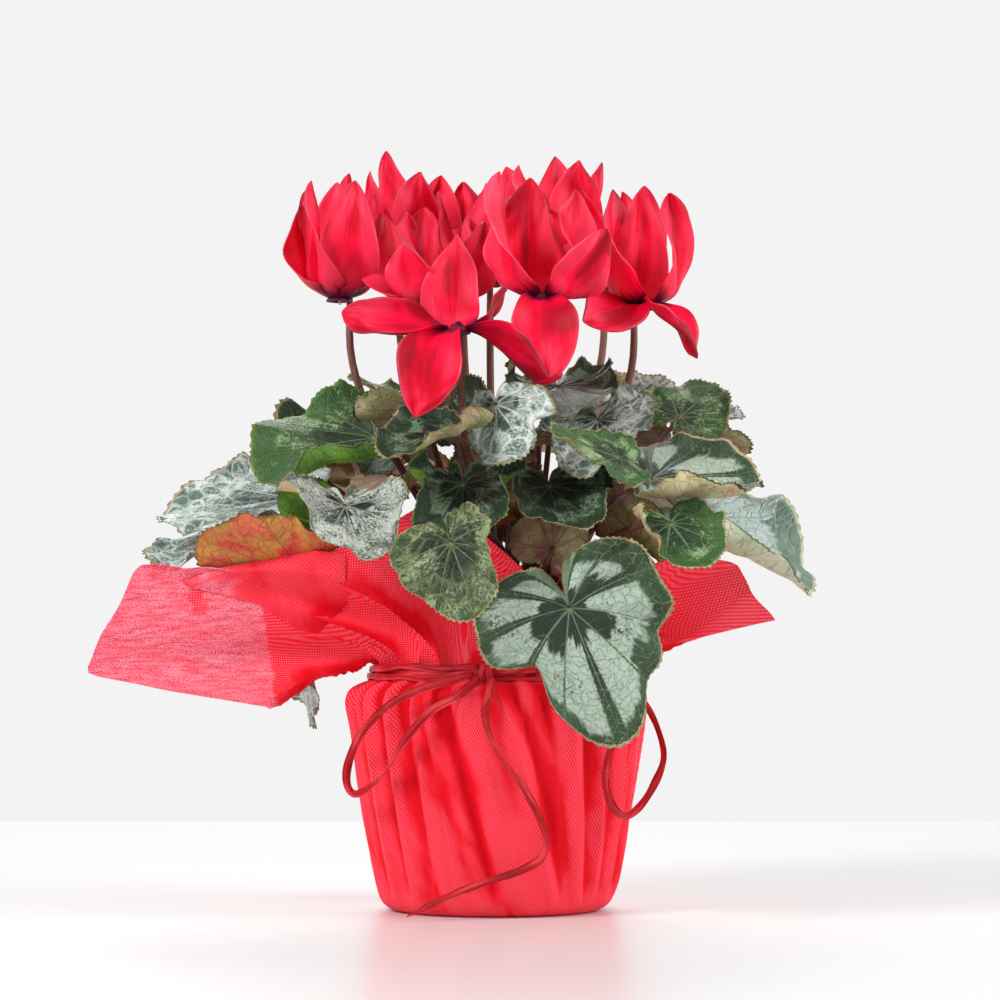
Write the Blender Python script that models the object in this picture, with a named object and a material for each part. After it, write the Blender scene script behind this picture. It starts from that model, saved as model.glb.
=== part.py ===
"""Potted cyclamen in a gathered gift wrap: pot, soil, corm with stalks, leaves, blooms, wrap and raffia tie.

Lengths in the tables are millimetres, turned into metres where an object is made. +Z is up, the plant
stands on the surface at z = 0 with the pot's axis on the Z axis, and its front faces -Y.
"""

import math
from collections import namedtuple

import bpy
import numpy as np
from mathutils.bvhtree import BVHTree

MM = 0.001
GAP = 0.3  # clearance kept between pieces that touch on the real plant
SHARP_ANGLE = 50  # degrees between two faces that meet in a hard edge

# Pot and soil
POT_BASE_RADIUS = 46.0
POT_RIM_RADIUS = 61.0
POT_LIP_RADIUS = 64.0
POT_TOP = 105.0
POT_LIP_HEIGHT = 8.0
POT_WALL = 1.2
POT_SEGMENTS = 24
DRAIN_HOLES = 4
DRAIN_HOLE_RADIUS = 4.0
DRAIN_HOLE_SIDES = 6
DRAIN_HOLE_RING = 28.0
DRAIN_HOLE_START = 45  # degrees, the first hole
SOIL_TOP = 99.0
SOIL_EDGE = (0.6, 4.0)  # in from the wall, and below the top
SOIL_MOUND = (0.75, 2.0)  # of the pot's rim, and above the top
CORM_RADIUS = 27.0
CORM_HEIGHT = 22.0
CORM_MIDDLE = 98.0
CORM_CLEARANCE = 0.8
CORM_HOLLOW = ((0.8, 8.0), (0.5, 11.3))  # of the radius, and below its middle
CORM_HOLLOW_EDGE = 2.0
CORM_SIZE = (CORM_RADIUS, CORM_RADIUS, CORM_HEIGHT / 2)
CORM_SEGMENTS = 10
CORM_RINGS = 5

# Wrap: outer radius by height on the pot, then the collar's cut edge round the plant
WRAP_THICKNESS = 0.8
WRAP_BASE_RADIUS = 50.0
WRAP_BODY = (
    (3.0, 54.0), (13.0, 58.0), (40.0, 63.2),
    (92.0, 70.0), (103.0, 69.5), (108.0, 65.0), (111.0, 57.2), (117.0, 57.2),
)  # (height, radius)
NECK_ROW = len(WRAP_BODY) - 2  # index of the first row of the tied neck
WRAP_PLEATS = 11
WRAP_PLEAT_DEPTH = 1.0
WRAP_PLEAT_TWIST = 0.25  # degrees round the pot for each mm up
COLLAR_ROWS = (0.25, 0.5, 0.76, 1.0)
COLLAR_FLARE = 6.0
COLLAR_RISE = 0.55  # of the edge's height above the neck, gained before the collar spreads
COLLAR_LEAST_RISE = 12.0
COLLAR_PLEATS = 14
COLLAR_PLEAT_DEPTH = 3.0
WIDEST_COLUMN = 14.0  # degrees between two columns of the wrap

# The collar's edge: (azimuth at the neck in degrees, x, y, z)
COLLAR_EDGE = (
    (0, 86, 6, 126), (20, 86, 30, 142), (45, 76, 70, 165), (70, 42, 104, 174),
    (90, 0, 128, 160), (110, -40, 104, 174), (135, -70, 70, 160), (155, -86, 32, 130),
    (175, -92, 2, 116), (190, -108, -28, 97), (203, -196, -22, 114), (214, -172, -28, 162),
    (226, -124, -40, 161), (238, -80, -54, 169), (250, -54, -70, 176), (260, -31, -82, 191),
    (270, -8, -84, 176), (282, 18, -84, 156), (296, 46, -78, 150), (310, 72, -68, 160),
    (322, 92, -60, 165), (334, 113, -50, 164), (344, 131, -38, 137), (353, 104, -14, 129),
)

# Raffia, a 4 mm ribbon drawn as a round cord
RAFFIA_RADIUS = 2.0
BAND_RADIUS = 60.0
BAND_HEIGHT = 114.0
BAND_HALF_THICKNESS = 2.3
BAND_HALF_HEIGHT = 2.6
BAND_SEGMENTS = 24
BAND_SIDES = 6
ROUTE_SPACING = 13.0
ROUTE_FINENESS = 12  # points read from the smooth curve between two of the route
KNOT_CENTRE = (-6.0, -65.6, 114.5)
KNOT_SIZE = (6.5, 4.8, 4.4)
LOOP_LEFT = (
    (-11.65, -67.7, 113.05), (-23, -71, 109.5), (-38, -68, 105), (-52, -60, 97), (-63, -48, 85),
    (-69, -40, 72), (-70, -38, 62), (-66, -43, 57), (-58, -51, 61), (-50, -58, 70),
    (-41, -65, 84), (-30, -71, 96), (-18, -73.5, 103), (-8.4, -68.6, 110.7),
)
LOOP_RIGHT = (
    (42.75, -45.7, 113.5), (48, -52, 109), (53, -56, 100), (55, -54, 88), (52, -55, 74), (51, -56, 62),
    (54, -54, 52), (60, -49, 47), (67, -44, 51), (74, -40, 61), (79, -36, 74),
    (76, -34, 88), (69, -35, 101), (60, -35, 109), (52.9, -34.6, 114),
)
TAIL = (
    (-2.1, -68.7, 111.25), (-3, -74.5, 103), (-5, -75.5, 96), (-3, -74, 85), (3, -73, 74), (11, -71, 63),
    (19, -69, 50), (23, -67, 38), (21, -67, 29), (11, -67, 23), (-3, -67, 18.5),
    (-17, -67, 13), (-30, -67, 7), (-41, -69, 2.1),
)
CORDS = (("raffia_loop_left", LOOP_LEFT), ("raffia_loop_right", LOOP_RIGHT), ("raffia_tail", TAIL))

# Leaves
LEAF_THICKNESS = 0.8
LEAF_RIM = 22
LEAF_RING = 11
LEAF_RING_AT = 0.55  # of the way from the stalk to the rim
LEAF_TEETH_DEPTH = 0.03
LEAF_WAVES = 6
NOTCH_DEPTH = 0.72  # of the reach, at the notch by the stalk
NOTCH_HALF = 10.0  # degrees
FOLD_SOFTNESS = 0.03  # of the leaf's length, rounds the fold at the midrib
TIP_CURL_START = 0.45  # of the leaf's length, out from its stalk point
CURL_START = 0.22  # of the leaf's length, out from its midrib
CURL_END = 0.62  # of the leaf's length for a width of 1
STALK_RADIUS = 1.6
STALK_SIDES = 4
STALK_STEPS = 4
STALK_ROOT = (6.0, 0.15, 20.0)  # out from the corm's middle: least, part of the leaf's distance, most
STALK_ROOT_DEPTH = 7.0  # below the corm's top
STALK_RISE = (0.12, 0.55)  # out and up at the root, as parts of the reach
STALK_ARRIVAL = (0.22, 0.14)  # along the blade and below it at the end, as parts of the reach
STALK_BOWED = (0.3, 0.6)  # of the sideways bow that shows at the root and at the end
STALK_SEATS = 12
STALK_SEAT_STEP = 0.35
STALK_BOWS = (
    (0, 1.0), (12, 1.0), (-12, 1.0), (0, 0.75), (0, 1.3), (24, 1.0), (-24, 1.0),
    (12, 1.3), (-12, 1.3), (24, 0.75), (-24, 0.75),
)  # (sideways, height of the arch)

# Blooms
PETAL_THICKNESS = 0.8
PETAL_STATIONS = (0.0, 0.22, 0.52, 0.82)
PETAL_STEPS = 20
PETAL_START = (4.4, 0.6)  # out from the middle of the mouth, and up
PETAL_START_LEAN = 0.35  # of the angle that the petal bends back to
PETAL_BEND_END = 0.38  # of the petal's length, where it has bent back
PETAL_TIP_BEND = 14.0
PETAL_TROUGH = 0.4
PETAL_TAPER = 0.8  # 1 gives the petal's tip straight sides, less rounds it
PETAL_ROOT_HALF = 3.0  # half the petal's width at the mouth
MOUTH_RADIUS = 6.4
MOUTH_LIP = 1.2
CALYX_RADIUS = 4.6
CALYX_HEIGHT = 8.0
CALYX_SEGMENTS = 6
FLOWER_STEM_RADIUS = 1.8
FLOWER_STEM_ROOT = 7.0  # out from the corm's middle
FLOWER_STEM_STEPS = 6
NECK_DROP = 15.0
NECK_OFFSET = 9.0
NECK_STRAIGHT = 0.6  # of the drop
NECK_HOOK = ((1.0, 4), (0.8, 9), (0.35, 11), (0.0, 6))  # (of the offset, above the mouth)
FLOWER_STEM_LEADS = (0.45, 0.3)  # straight at the root and at the top, as parts of the reach

# Looking for clear places, as (farthest sideways or up, farthest in depth)
SEARCH_STEP = 3
BLOOM_REACH = (15, 39)
LEAF_REACH = (15, 33)
BLOOM_SIZES = (1.0, 0.93, 0.86)  # a bloom in a tight place may be this part of its size
LEAF_SIZES = (1.0, 0.9, 0.8, 0.7)
DEPTH_COST = 0.4
SHRINK_COST = 70.0

# Attach and tip are points, face is the way that the upper side looks, curls are degrees upward
Leaf = namedtuple("Leaf", "name attach tip face width fold ruffle phase tip_curl left_curl right_curl")
LEAVES = (
    Leaf("front_big", (33, -108, 143), (58, -105, 81), (-.1, -1, .25), 1.1, .12, .05, 0, 0, 0, 15),
    Leaf("front_marbled", (-20, -112, 172), (-8, -118, 139), (-.35, -1, .2), 1.3, .3, .06, 1, 0, 40, 0),
    Leaf("left_metal", (-69, -80, 190), (-61, -112, 165), (.25, -.5, .85), 1.3, .25, .06, 2, 0, 30, 0),
    Leaf("left_big", (-57, -30, 224), (-118, -35, 214), (0, -.6, .8), 1.05, 0, .05, 3, 0, 110, 0),
    Leaf("right_marbled", (72, -75, 203), (122, -45, 206), (-.1, -.65, .75), 1.15, 0, .04, 4, 0, 0, 110),
    Leaf("right_silver", (94, -55, 186), (153, -35, 161), (-.15, -.6, .8), 1.1, 0, .05, 5, 0, 0, 130),
    Leaf("left_silver", (-98, -15, 197), (-162, -25, 185), (-.15, -.5, .85), 1.0, .1, .05, 0, 0, 0, 0),
    Leaf("front_dark_cup", (-12, -74, 194), (-12, -107, 166), (0, -.5, .85), 1.2, .1, .09, 1, 0, 60, 80),
    Leaf("front_purple", (38, -95, 162), (48, -82, 192), (0, 1, .25), 1.1, .25, .06, 2, 30, 0, 0),
    Leaf("front_pink_rim", (22, -62, 197), (27, -98, 171), (.1, -.35, .95), 1.2, .15, .06, 3, 0, 40, 110),
    Leaf("front_silver", (0, -85, 236), (2, -95, 208), (-.5, -.8, .3), 1.3, -.6, .03, 4, 0, 0, 0),
    Leaf("front_toothed_cup", (-16, -55, 224), (-42, -84, 210), (0, -.2, 1), 1.2, .1, .08, 5, 0, 110, 30),
    Leaf("right_round", (79, -80, 184), (93, -103, 163), (.1, -.7, .7), 1.2, 0, .05, 0, 0, 0, 120),
    Leaf("right_underside", (76, -72, 173), (52, -70, 203), (.5, .7, .5), .9, 0, .06, 1, 0, 0, 0),
    Leaf("left_red_lit", (-92, -45, 166), (-141, -56, 182), (.2, .6, .75), 1.1, .1, .05, 2, 0, 0, 0),
    Leaf("left_low_silver", (-122, -5, 184), (-165, -10, 164), (-.2, -.45, .85), .9, .1, .05, 3, 0, 0, 0),
    Leaf("left_bright", (-84, -52, 174), (-104, -64, 200), (-.1, .8, .5), 1.0, 0, .06, 4, 0, 0, 0),
    Leaf("left_toothed", (-66, -55, 176), (-98, -74, 168), (0, -.3, 1), 1.1, 0, .05, 5, 0, 0, 0),
    Leaf("left_curled", (-47, -55, 205), (-70, -76, 188), (-.3, -.1, .95), 1.1, 0, .06, 0, 0, 110, 0),
    Leaf("left_hanging", (-84, 38, 118), (-78, 36, 80), (-.9, -.35, .2), .9, .1, .05, 1, 0, 0, 0),
    Leaf("left_back", (-48, 14, 228), (-104, 18, 236), (-.1, -.5, .85), 1.0, 0, .06, 2, 0, 0, 0),
    Leaf("left_small_top", (-47, 25, 250), (-69, 22, 258), (0, -.35, 1), 1.0, 0, .06, 3, 0, 0, 0),
    Leaf("left_yellow", (-82, 8, 208), (-120, 2, 209), (-.1, .2, 1), 1.0, 0, .06, 4, 0, 60, 0),
    Leaf("middle_twin_dark", (30, -20, 250), (37, -62, 231), (0, -.45, .9), 1.1, .1, .06, 5, 0, 50, 60),
    Leaf("middle_silver_edge", (54, -45, 232), (51, -80, 206), (-.25, -.6, .75), 1.1, 0, .05, 0, 0, 20, 60),
    Leaf("middle_wide_rim", (32, -55, 211), (29, -92, 198), (0, -.1, 1), 1.3, 0, .06, 1, 70, 40, 40),
    Leaf("middle_lobe", (44, -60, 211), (12, -80, 221), (0, -.7, .7), .75, 0, .05, 2, 0, 0, 0),
    Leaf("middle_olive", (12, -66, 203), (-12, -84, 207), (0, .3, .95), 1.1, 0, .08, 3, 0, 60, 0),
    Leaf("middle_dark_top", (4, -38, 228), (-30, -50, 233), (0, -.6, .8), 1.1, 0, .05, 4, 0, 0, 0),
    Leaf("middle_olive_left", (-30, -44, 230), (-64, -52, 230), (0, .5, .85), 1.0, 0, .07, 5, 0, 0, 0),
    Leaf("middle_upright", (-20, 8, 234), (-25, 22, 262), (0, -.7, .5), 1.2, 0, .05, 0, 0, 0, 0),
    Leaf("right_pink", (63, -22, 226), (69, -4, 250), (0, .9, .3), 1.3, 0, .05, 1, 0, 0, 0),
    Leaf("right_small", (88, -14, 236), (107, 6, 252), (-.1, -.85, .6), 1.2, 0, .04, 2, 0, 0, 0),
    Leaf("right_top_silver", (48, 8, 243), (86, 2, 255), (0, -.6, .8), 1.1, 0, .05, 3, 0, 0, 0),
    Leaf("right_top_olive", (58, 26, 246), (62, 44, 268), (0, -.85, .5), 1.2, 0, .06, 4, 0, 0, 0),
    Leaf("right_edge", (92, 18, 246), (117, 8, 240), (.2, -.4, .9), 1.1, 0, .06, 5, 0, 0, 0),
    Leaf("right_olive", (92, -2, 232), (121, -6, 228), (.3, .5, .8), 1.1, 0, .07, 0, 0, 0, 0),
    Leaf("back_right_low", (56, 40, 206), (108, 72, 182), (.3, .3, .9), 1.1, .05, .06, 1, 0, 0, 0),
    Leaf("back_right_high", (20, 44, 240), (48, 96, 232), (.2, .4, .9), 1.1, .05, .06, 2, 0, 0, 0),
    Leaf("back_middle", (-1, 48, 194), (-3, 60, 236), (0, -.8, .4), 1.2, .05, .06, 3, 0, 0, 0),
    Leaf("back_left_high", (-24, 42, 238), (-58, 92, 230), (-.2, .4, .9), 1.1, .05, .06, 4, 0, 0, 0),
    Leaf("back_left_low", (-58, 44, 204), (-112, 78, 182), (-.3, .3, .9), 1.1, .05, .06, 5, 0, 0, 0),
)

# A bloom hangs mouth down and its petals bend back. A petal is (azimuth, flare from upright, length, twist)
Bloom = namedtuple("Bloom", "name mouth stem_azimuth width petals")
BLOOMS = (
    Bloom("front_middle", (-18, -72, 271), 80, 28,
          ((182, 84, 50, 80), (30, 35, 51, 50), (100, 12, 53, 30), (352, 126, 50, 80), (240, 150, 57, 25))),
    Bloom("front_right", (17, -72, 282), 100, 29,
          ((210, 8, 63, 40), (110, 2, 63, 30), (30, 8, 57, 50), (345, 40, 43, 70), (275, 150, 54, 5))),
    Bloom("right", (70, -40, 286), 120, 29,
          ((210, 8, 59, 40), (100, 4, 61, 30), (10, 3, 59, 60), (235, 112, 46, 60), (305, 138, 42, 30))),
    Bloom("left", (-75, -20, 292), 60, 29,
          ((185, 6, 57, 50), (232, 6, 59, 40), (292, 4, 59, 20), (100, 2, 63, 30), (20, 8, 57, 50))),
    Bloom("left_front", (-40, -45, 286), 120, 30,
          ((335, 30, 53, 50), (30, 18, 55, 50), (90, 6, 59, 30), (160, 12, 55, 50), (240, 6, 51, 30))),
    Bloom("left_tall", (-54, 18, 308), 50, 30,
          ((90, 2, 69, 15), (10, 16, 57, 50), (190, 12, 55, 50), (250, 6, 53, 30), (320, 18, 55, 40))),
    Bloom("back_left", (-24, 24, 308), 60, 29,
          ((100, 5, 59, 30), (170, 20, 53, 50), (20, 12, 57, 50), (235, 10, 53, 40), (310, 16, 55, 40))),
    Bloom("back_middle", (-3, -5, 300), 90, 29,
          ((60, 12, 55, 40), (130, 8, 57, 40), (200, 22, 51, 50), (275, 8, 51, 20), (345, 20, 51, 50))),
    Bloom("back_right", (28, 42, 318), 57, 30,
          ((150, 20, 57, 40), (90, 4, 59, 20), (25, 22, 59, 50), (315, 12, 53, 40), (230, 16, 51, 40))),
    Bloom("right_back", (50, 5, 302), 90, 29,
          ((60, 12, 57, 40), (120, 8, 57, 40), (190, 30, 49, 50), (330, 10, 55, 40), (255, 96, 44, 40))),
)

# Colours as (red, green, blue, roughness)
COLOURS = {
    "pot": (0.16, 0.05, 0.03, 0.55),
    "soil": (0.035, 0.022, 0.015, 0.95),
    "crown": (0.20, 0.07, 0.05, 0.5),
    "wrap": (0.78, 0.01, 0.03, 0.6),
    "raffia": (0.42, 0.005, 0.02, 0.5),
    "leaf": (0.06, 0.13, 0.06, 0.5),
    "bloom": (0.72, 0.005, 0.03, 0.45),
}


def clear_scene():
    for obj in list(bpy.data.objects):
        bpy.data.objects.remove(obj, do_unlink=True)


def material(kind):
    """A new material of one of the COLOURS, so that every sub-part has its own."""
    red, green, blue, roughness = COLOURS[kind]
    made = bpy.data.materials.new(kind)
    made.use_nodes = True
    surface = made.node_tree.nodes["Principled BSDF"]
    surface.inputs["Base Color"].default_value = (red, green, blue, 1.0)
    surface.inputs["Roughness"].default_value = roughness
    surface.inputs["Metallic"].default_value = 0.0
    return made


def add_object(name, shape, kind, collection=None):
    """An object from (points in mm, faces)."""
    points, faces = shape
    mesh = bpy.data.meshes.new(name)
    mesh.from_pydata((np.asarray(points, float) * MM).tolist(), [], [list(map(int, f)) for f in faces])
    mesh.materials.append(material(kind))
    mesh.shade_smooth()
    mesh.set_sharp_from_angle(angle=math.radians(SHARP_ANGLE))
    obj = bpy.data.objects.new(name, mesh)
    (collection or bpy.context.scene.collection).objects.link(obj)
    return obj


def unit(vector):
    vector = np.asarray(vector, float)
    return vector / np.linalg.norm(vector)


def direction(azimuth):
    angle = math.radians(azimuth)
    return np.array((math.cos(angle), math.sin(angle), 0.0))


# Shapes as (points, faces)

def thicken(points, triangles, thickness, middle=True):
    """A closed sheet round a triangulated surface, split alike on both faces, or grown inward from it."""
    points = np.asarray(points, float)
    triangles = np.asarray(triangles, int)
    corners = points[triangles]
    flat = np.cross(corners[:, 1] - corners[:, 0], corners[:, 2] - corners[:, 0])
    normals = np.zeros_like(points)
    for corner in range(3):
        np.add.at(normals, triangles[:, corner], flat)
    normals /= np.linalg.norm(normals, axis=1)[:, None]
    upper = points + normals * (thickness / 2 if middle else 0.0)
    lower = upper - normals * thickness
    count = len(points)
    edges = np.concatenate([triangles[:, [0, 1]], triangles[:, [1, 2]], triangles[:, [2, 0]]])
    known = {(int(a), int(b)) for a, b in edges}
    faces = [tuple(t) for t in triangles]
    faces += [(c + count, b + count, a + count) for a, b, c in triangles]
    for a, b in sorted(known):
        if (b, a) not in known:
            faces += [(b, a, a + count), (b, a + count, b + count)]
    return np.concatenate([upper, lower]), faces


def tube(path, radius, sides):
    """A closed tube along a path, with flat ends."""
    path = np.asarray(path, float)
    tangents = np.gradient(path, axis=0)
    tangents /= np.linalg.norm(tangents, axis=1)[:, None]
    across = unit(np.cross(tangents[0], (0.31, 0.95, 0.07)))
    points = []
    for centre, tangent in zip(path, tangents):
        across = unit(across - tangent * across.dot(tangent))
        other = np.cross(tangent, across)
        for side in range(sides):
            angle = 2 * math.pi * side / sides
            points.append(centre + radius * (math.cos(angle) * across + math.sin(angle) * other))
    faces = []
    for row in range(len(path) - 1):
        for side in range(sides):
            a, b = row * sides + side, row * sides + (side + 1) % sides
            faces += [(a, b, b + sides), (a, b + sides, a + sides)]
    last = (len(path) - 1) * sides
    faces += [(0, side + 1, side) for side in range(1, sides - 1)]
    faces += [(last, last + side, last + side + 1) for side in range(1, sides - 1)]
    return np.array(points), faces


def turned(profile, segments):
    """A closed turned solid from a profile of (radius, height), which starts and ends on the axis."""
    points = [(0.0, 0.0, profile[0][1])]
    for radius, height in profile[1:-1]:
        points += [tuple(radius * direction(360 * i / segments) + (0, 0, height)) for i in range(segments)]
    points.append((0.0, 0.0, profile[-1][1]))
    last, faces = len(points) - 1, []
    for i in range(segments):
        j = (i + 1) % segments
        faces.append((0, 1 + j, 1 + i))
        for row in range(len(profile) - 3):
            a, b = 1 + row * segments + i, 1 + row * segments + j
            faces += [(a, b, b + segments), (a, b + segments, a + segments)]
        faces.append((last, last - segments + i, last - segments + j))
    return np.array(points), faces


def bezier(first, second, third, fourth, steps):
    corners = np.array([first, second, third, fourth], float)
    points = []
    for step in range(steps + 1):
        t = step / steps
        weights = np.array([(1 - t) ** 3, 3 * t * (1 - t) ** 2, 3 * t * t * (1 - t), t ** 3])
        points.append(weights @ corners)
    return np.array(points)


def smooth_route(route):
    """Points read at an even spacing from a smooth curve through the route."""
    route = np.asarray(route, float)
    padded = np.concatenate([[2 * route[0] - route[1]], route, [2 * route[-1] - route[-2]]])
    fine = []
    for before, start, end, after in zip(padded, padded[1:], padded[2:], padded[3:]):
        square = 2 * before - 5 * start + 4 * end - after
        cube = 3 * start - before - 3 * end + after
        for t in np.linspace(0, 1, ROUTE_FINENESS, endpoint=False):
            fine.append(start + 0.5 * ((end - before) * t + square * t ** 2 + cube * t ** 3))
    fine = np.array(fine + [route[-1]])
    reached = np.concatenate([[0], np.cumsum(np.linalg.norm(np.diff(fine, axis=0), axis=1))])
    stops = np.linspace(0, reached[-1], round(reached[-1] / ROUTE_SPACING) + 1)
    return np.stack([np.interp(stops, reached, fine[:, axis]) for axis in range(3)], axis=1)


def ellipsoid(centre, size, segments, rings):
    profile = [(math.sin(math.pi * i / rings), -math.cos(math.pi * i / rings)) for i in range(rings + 1)]
    points, faces = turned(profile, segments)
    return points * np.asarray(size, float) + np.asarray(centre, float), faces


def union(name, shapes, kind):
    """One object from shapes that cross: a Boolean union on a collection, applied, and its pieces removed."""
    pieces = bpy.data.collections.new(name + "_pieces")
    bpy.context.scene.collection.children.link(pieces)
    for index, shape in enumerate(shapes[1:]):
        add_object(f"{name}_piece_{index}", shape, kind, pieces)
    obj = add_object(name, shapes[0], kind)
    joined = obj.modifiers.new("Union", "BOOLEAN")
    joined.operation = "UNION"
    joined.operand_type = "COLLECTION"
    joined.collection = pieces
    joined.solver = "EXACT"
    mesh = bpy.data.meshes.new_from_object(obj.evaluated_get(bpy.context.evaluated_depsgraph_get()))
    obj.modifiers.clear()
    obj.data = mesh
    mesh.materials.clear()
    mesh.materials.append(material(kind))
    for piece in list(pieces.objects):
        bpy.data.objects.remove(piece, do_unlink=True)
    bpy.data.collections.remove(pieces)
    return obj


# Pot, soil and tie

def build_pot():
    floor = WRAP_THICKNESS + GAP
    rim = POT_TOP - POT_LIP_HEIGHT
    inside = POT_WALL
    profile = (
        (0, floor), (POT_BASE_RADIUS, floor), (POT_RIM_RADIUS, rim), (POT_LIP_RADIUS, rim),
        (POT_LIP_RADIUS, POT_TOP), (POT_LIP_RADIUS - inside, POT_TOP),
        (POT_RIM_RADIUS - inside, rim), (POT_BASE_RADIUS - inside, floor + inside), (0, floor + inside),
    )
    pot = add_object("pot", turned(profile, POT_SEGMENTS), "pot")
    holes = []
    for index in range(DRAIN_HOLES):
        spot = DRAIN_HOLE_RING * direction(DRAIN_HOLE_START + index * 360 / DRAIN_HOLES)
        ends = (spot + (0, 0, floor - 1), spot + (0, 0, floor + inside + 1))
        holes.append(add_object(f"drain_cutter_{index}", tube(ends, DRAIN_HOLE_RADIUS, DRAIN_HOLE_SIDES), "pot"))
    for hole in holes:
        hole.hide_render = True
        hole.display_type = "WIRE"
        cut = pot.modifiers.new("Drain", "BOOLEAN")
        cut.operation = "DIFFERENCE"
        cut.object = hole


def build_soil():
    floor = WRAP_THICKNESS + POT_WALL + 2 * GAP
    wall = POT_WALL + GAP
    profile = (
        (0, floor), (POT_BASE_RADIUS - wall, floor),
        (POT_RIM_RADIUS - wall - SOIL_EDGE[0], SOIL_TOP - SOIL_EDGE[1]),
        (POT_RIM_RADIUS * SOIL_MOUND[0], SOIL_TOP + SOIL_MOUND[1]), (CORM_RADIUS + CORM_CLEARANCE, SOIL_TOP),
        (CORM_RADIUS + CORM_CLEARANCE, CORM_MIDDLE - CORM_HOLLOW_EDGE),
        *((CORM_RADIUS * part, CORM_MIDDLE - drop) for part, drop in CORM_HOLLOW),
        (0, CORM_MIDDLE - CORM_HOLLOW[-1][1]),
    )
    shape = turned(profile, POT_SEGMENTS)
    add_object("soil", shape, "soil")
    return shape


def build_band():
    """The raffia wound round the neck, with its knot at the front."""
    segments, sides = BAND_SEGMENTS, BAND_SIDES
    points, faces = [], []
    for i in range(segments):
        out = direction(360 * i / segments)
        for side in range(sides):
            angle = 2 * math.pi * (side + 0.5) / sides
            radius = BAND_RADIUS + BAND_HALF_THICKNESS * math.cos(angle)
            points.append(radius * out + (0, 0, BAND_HEIGHT + BAND_HALF_HEIGHT * math.sin(angle)))
    for i in range(segments):
        for side in range(sides):
            a, b = i * sides + side, i * sides + (side + 1) % sides
            c, d = (a + sides) % (segments * sides), (b + sides) % (segments * sides)
            faces += [(a, c, d), (a, d, b)]
    union("raffia_band", [(np.array(points), faces), ellipsoid(KNOT_CENTRE, KNOT_SIZE, 8, 5)], "raffia")


def build_cord(name, route):
    """A free raffia end as a round curve on a smooth route."""
    points = smooth_route(route)
    curve = bpy.data.curves.new(name, "CURVE")
    curve.dimensions = "3D"
    curve.bevel_depth = RAFFIA_RADIUS * MM
    curve.bevel_resolution = 2
    curve.use_fill_caps = True
    line = curve.splines.new("POLY")
    line.points.add(len(points) - 1)
    for spot, point in zip(line.points, points * MM):
        spot.co = (*point, 1.0)
    curve.materials.append(material("raffia"))
    obj = bpy.data.objects.new(name, curve)
    bpy.context.scene.collection.objects.link(obj)
    return tube(points, RAFFIA_RADIUS, 8)


# Wrap

def wrap_columns():
    """(azimuth, edge point) of each column: the collar's named points, and one between any two far apart."""
    columns = []
    for index, (azimuth, *edge) in enumerate(COLLAR_EDGE):
        following = COLLAR_EDGE[(index + 1) % len(COLLAR_EDGE)]
        turn = (following[0] - azimuth) % 360
        columns.append((azimuth, np.array(edge, float)))
        if turn > WIDEST_COLUMN:
            columns.append((azimuth + turn / 2, (np.array(edge, float) + following[1:]) / 2))
    return columns


def wrap_shape():
    columns = wrap_columns()
    rows = []
    for index, (height, radius) in enumerate(((0.0, WRAP_BASE_RADIUS), *WRAP_BODY)):
        pleated = WRAP_PLEAT_DEPTH if 1 < index < NECK_ROW else 0.0
        row = []
        for azimuth, _ in columns:
            wave = math.sin(math.radians(WRAP_PLEATS * (azimuth + height * WRAP_PLEAT_TWIST)))
            row.append((radius + pleated * wave) * direction(azimuth) + (0, 0, height))
        rows.append(row)
    neck = rows[-1]
    for part in COLLAR_ROWS:
        row = []
        for (azimuth, edge), start in zip(columns, neck):
            lift = max(COLLAR_LEAST_RISE, COLLAR_RISE * (edge[2] - start[2]))
            control = start + COLLAR_FLARE * direction(azimuth) + (0, 0, lift)
            point = (1 - part) ** 2 * start + 2 * part * (1 - part) * control + part ** 2 * edge
            pleat = 4 * part * (1 - part) * COLLAR_PLEAT_DEPTH
            row.append(point + pleat * math.sin(math.radians(COLLAR_PLEATS * azimuth)) * direction(azimuth))
        rows.append(row)
    points = [(0.0, 0.0, 0.0)] + [p for row in rows for p in row]
    count, faces = len(columns), []
    for i in range(count):
        j = (i + 1) % count
        faces.append((0, 1 + j, 1 + i))
        for row in range(len(rows) - 1):
            a, b = 1 + row * count + i, 1 + row * count + j
            faces += [(a, b, b + count), (a, b + count, a + count)]
    return thicken(points, faces, WRAP_THICKNESS, middle=False)


# Leaves

def notch(theta):
    """1 away from the notch by the stalk, and less in it."""
    return 1 - NOTCH_DEPTH * np.exp(-((180 - np.abs(np.degrees(theta))) / NOTCH_HALF) ** 2)


def outline(theta):
    """Distance from the stalk to the rim, as a part of the leaf's length, by angle from the tip."""
    away = np.abs(np.degrees(theta))
    tip = 0.40 * np.exp(-(away / 36) ** 2)
    lobe = 0.24 * np.clip((away - 95) / 60, 0.0, 1.0) ** 2
    return (0.60 + tip - lobe) * notch(theta)


def roll(along, height, start, span, degrees):
    """Bends the part of a surface beyond start round a cylinder, upward for a positive angle."""
    if not degrees:
        return along, height
    radius = span / math.radians(abs(degrees))
    angle = (along - start) / radius
    up = math.copysign(1.0, degrees)
    arm = radius - up * height
    beyond = along > start
    rolled_along = np.where(beyond, start + arm * np.sin(angle), along)
    return rolled_along, np.where(beyond, up * (radius - arm * np.cos(angle)), height)


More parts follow.
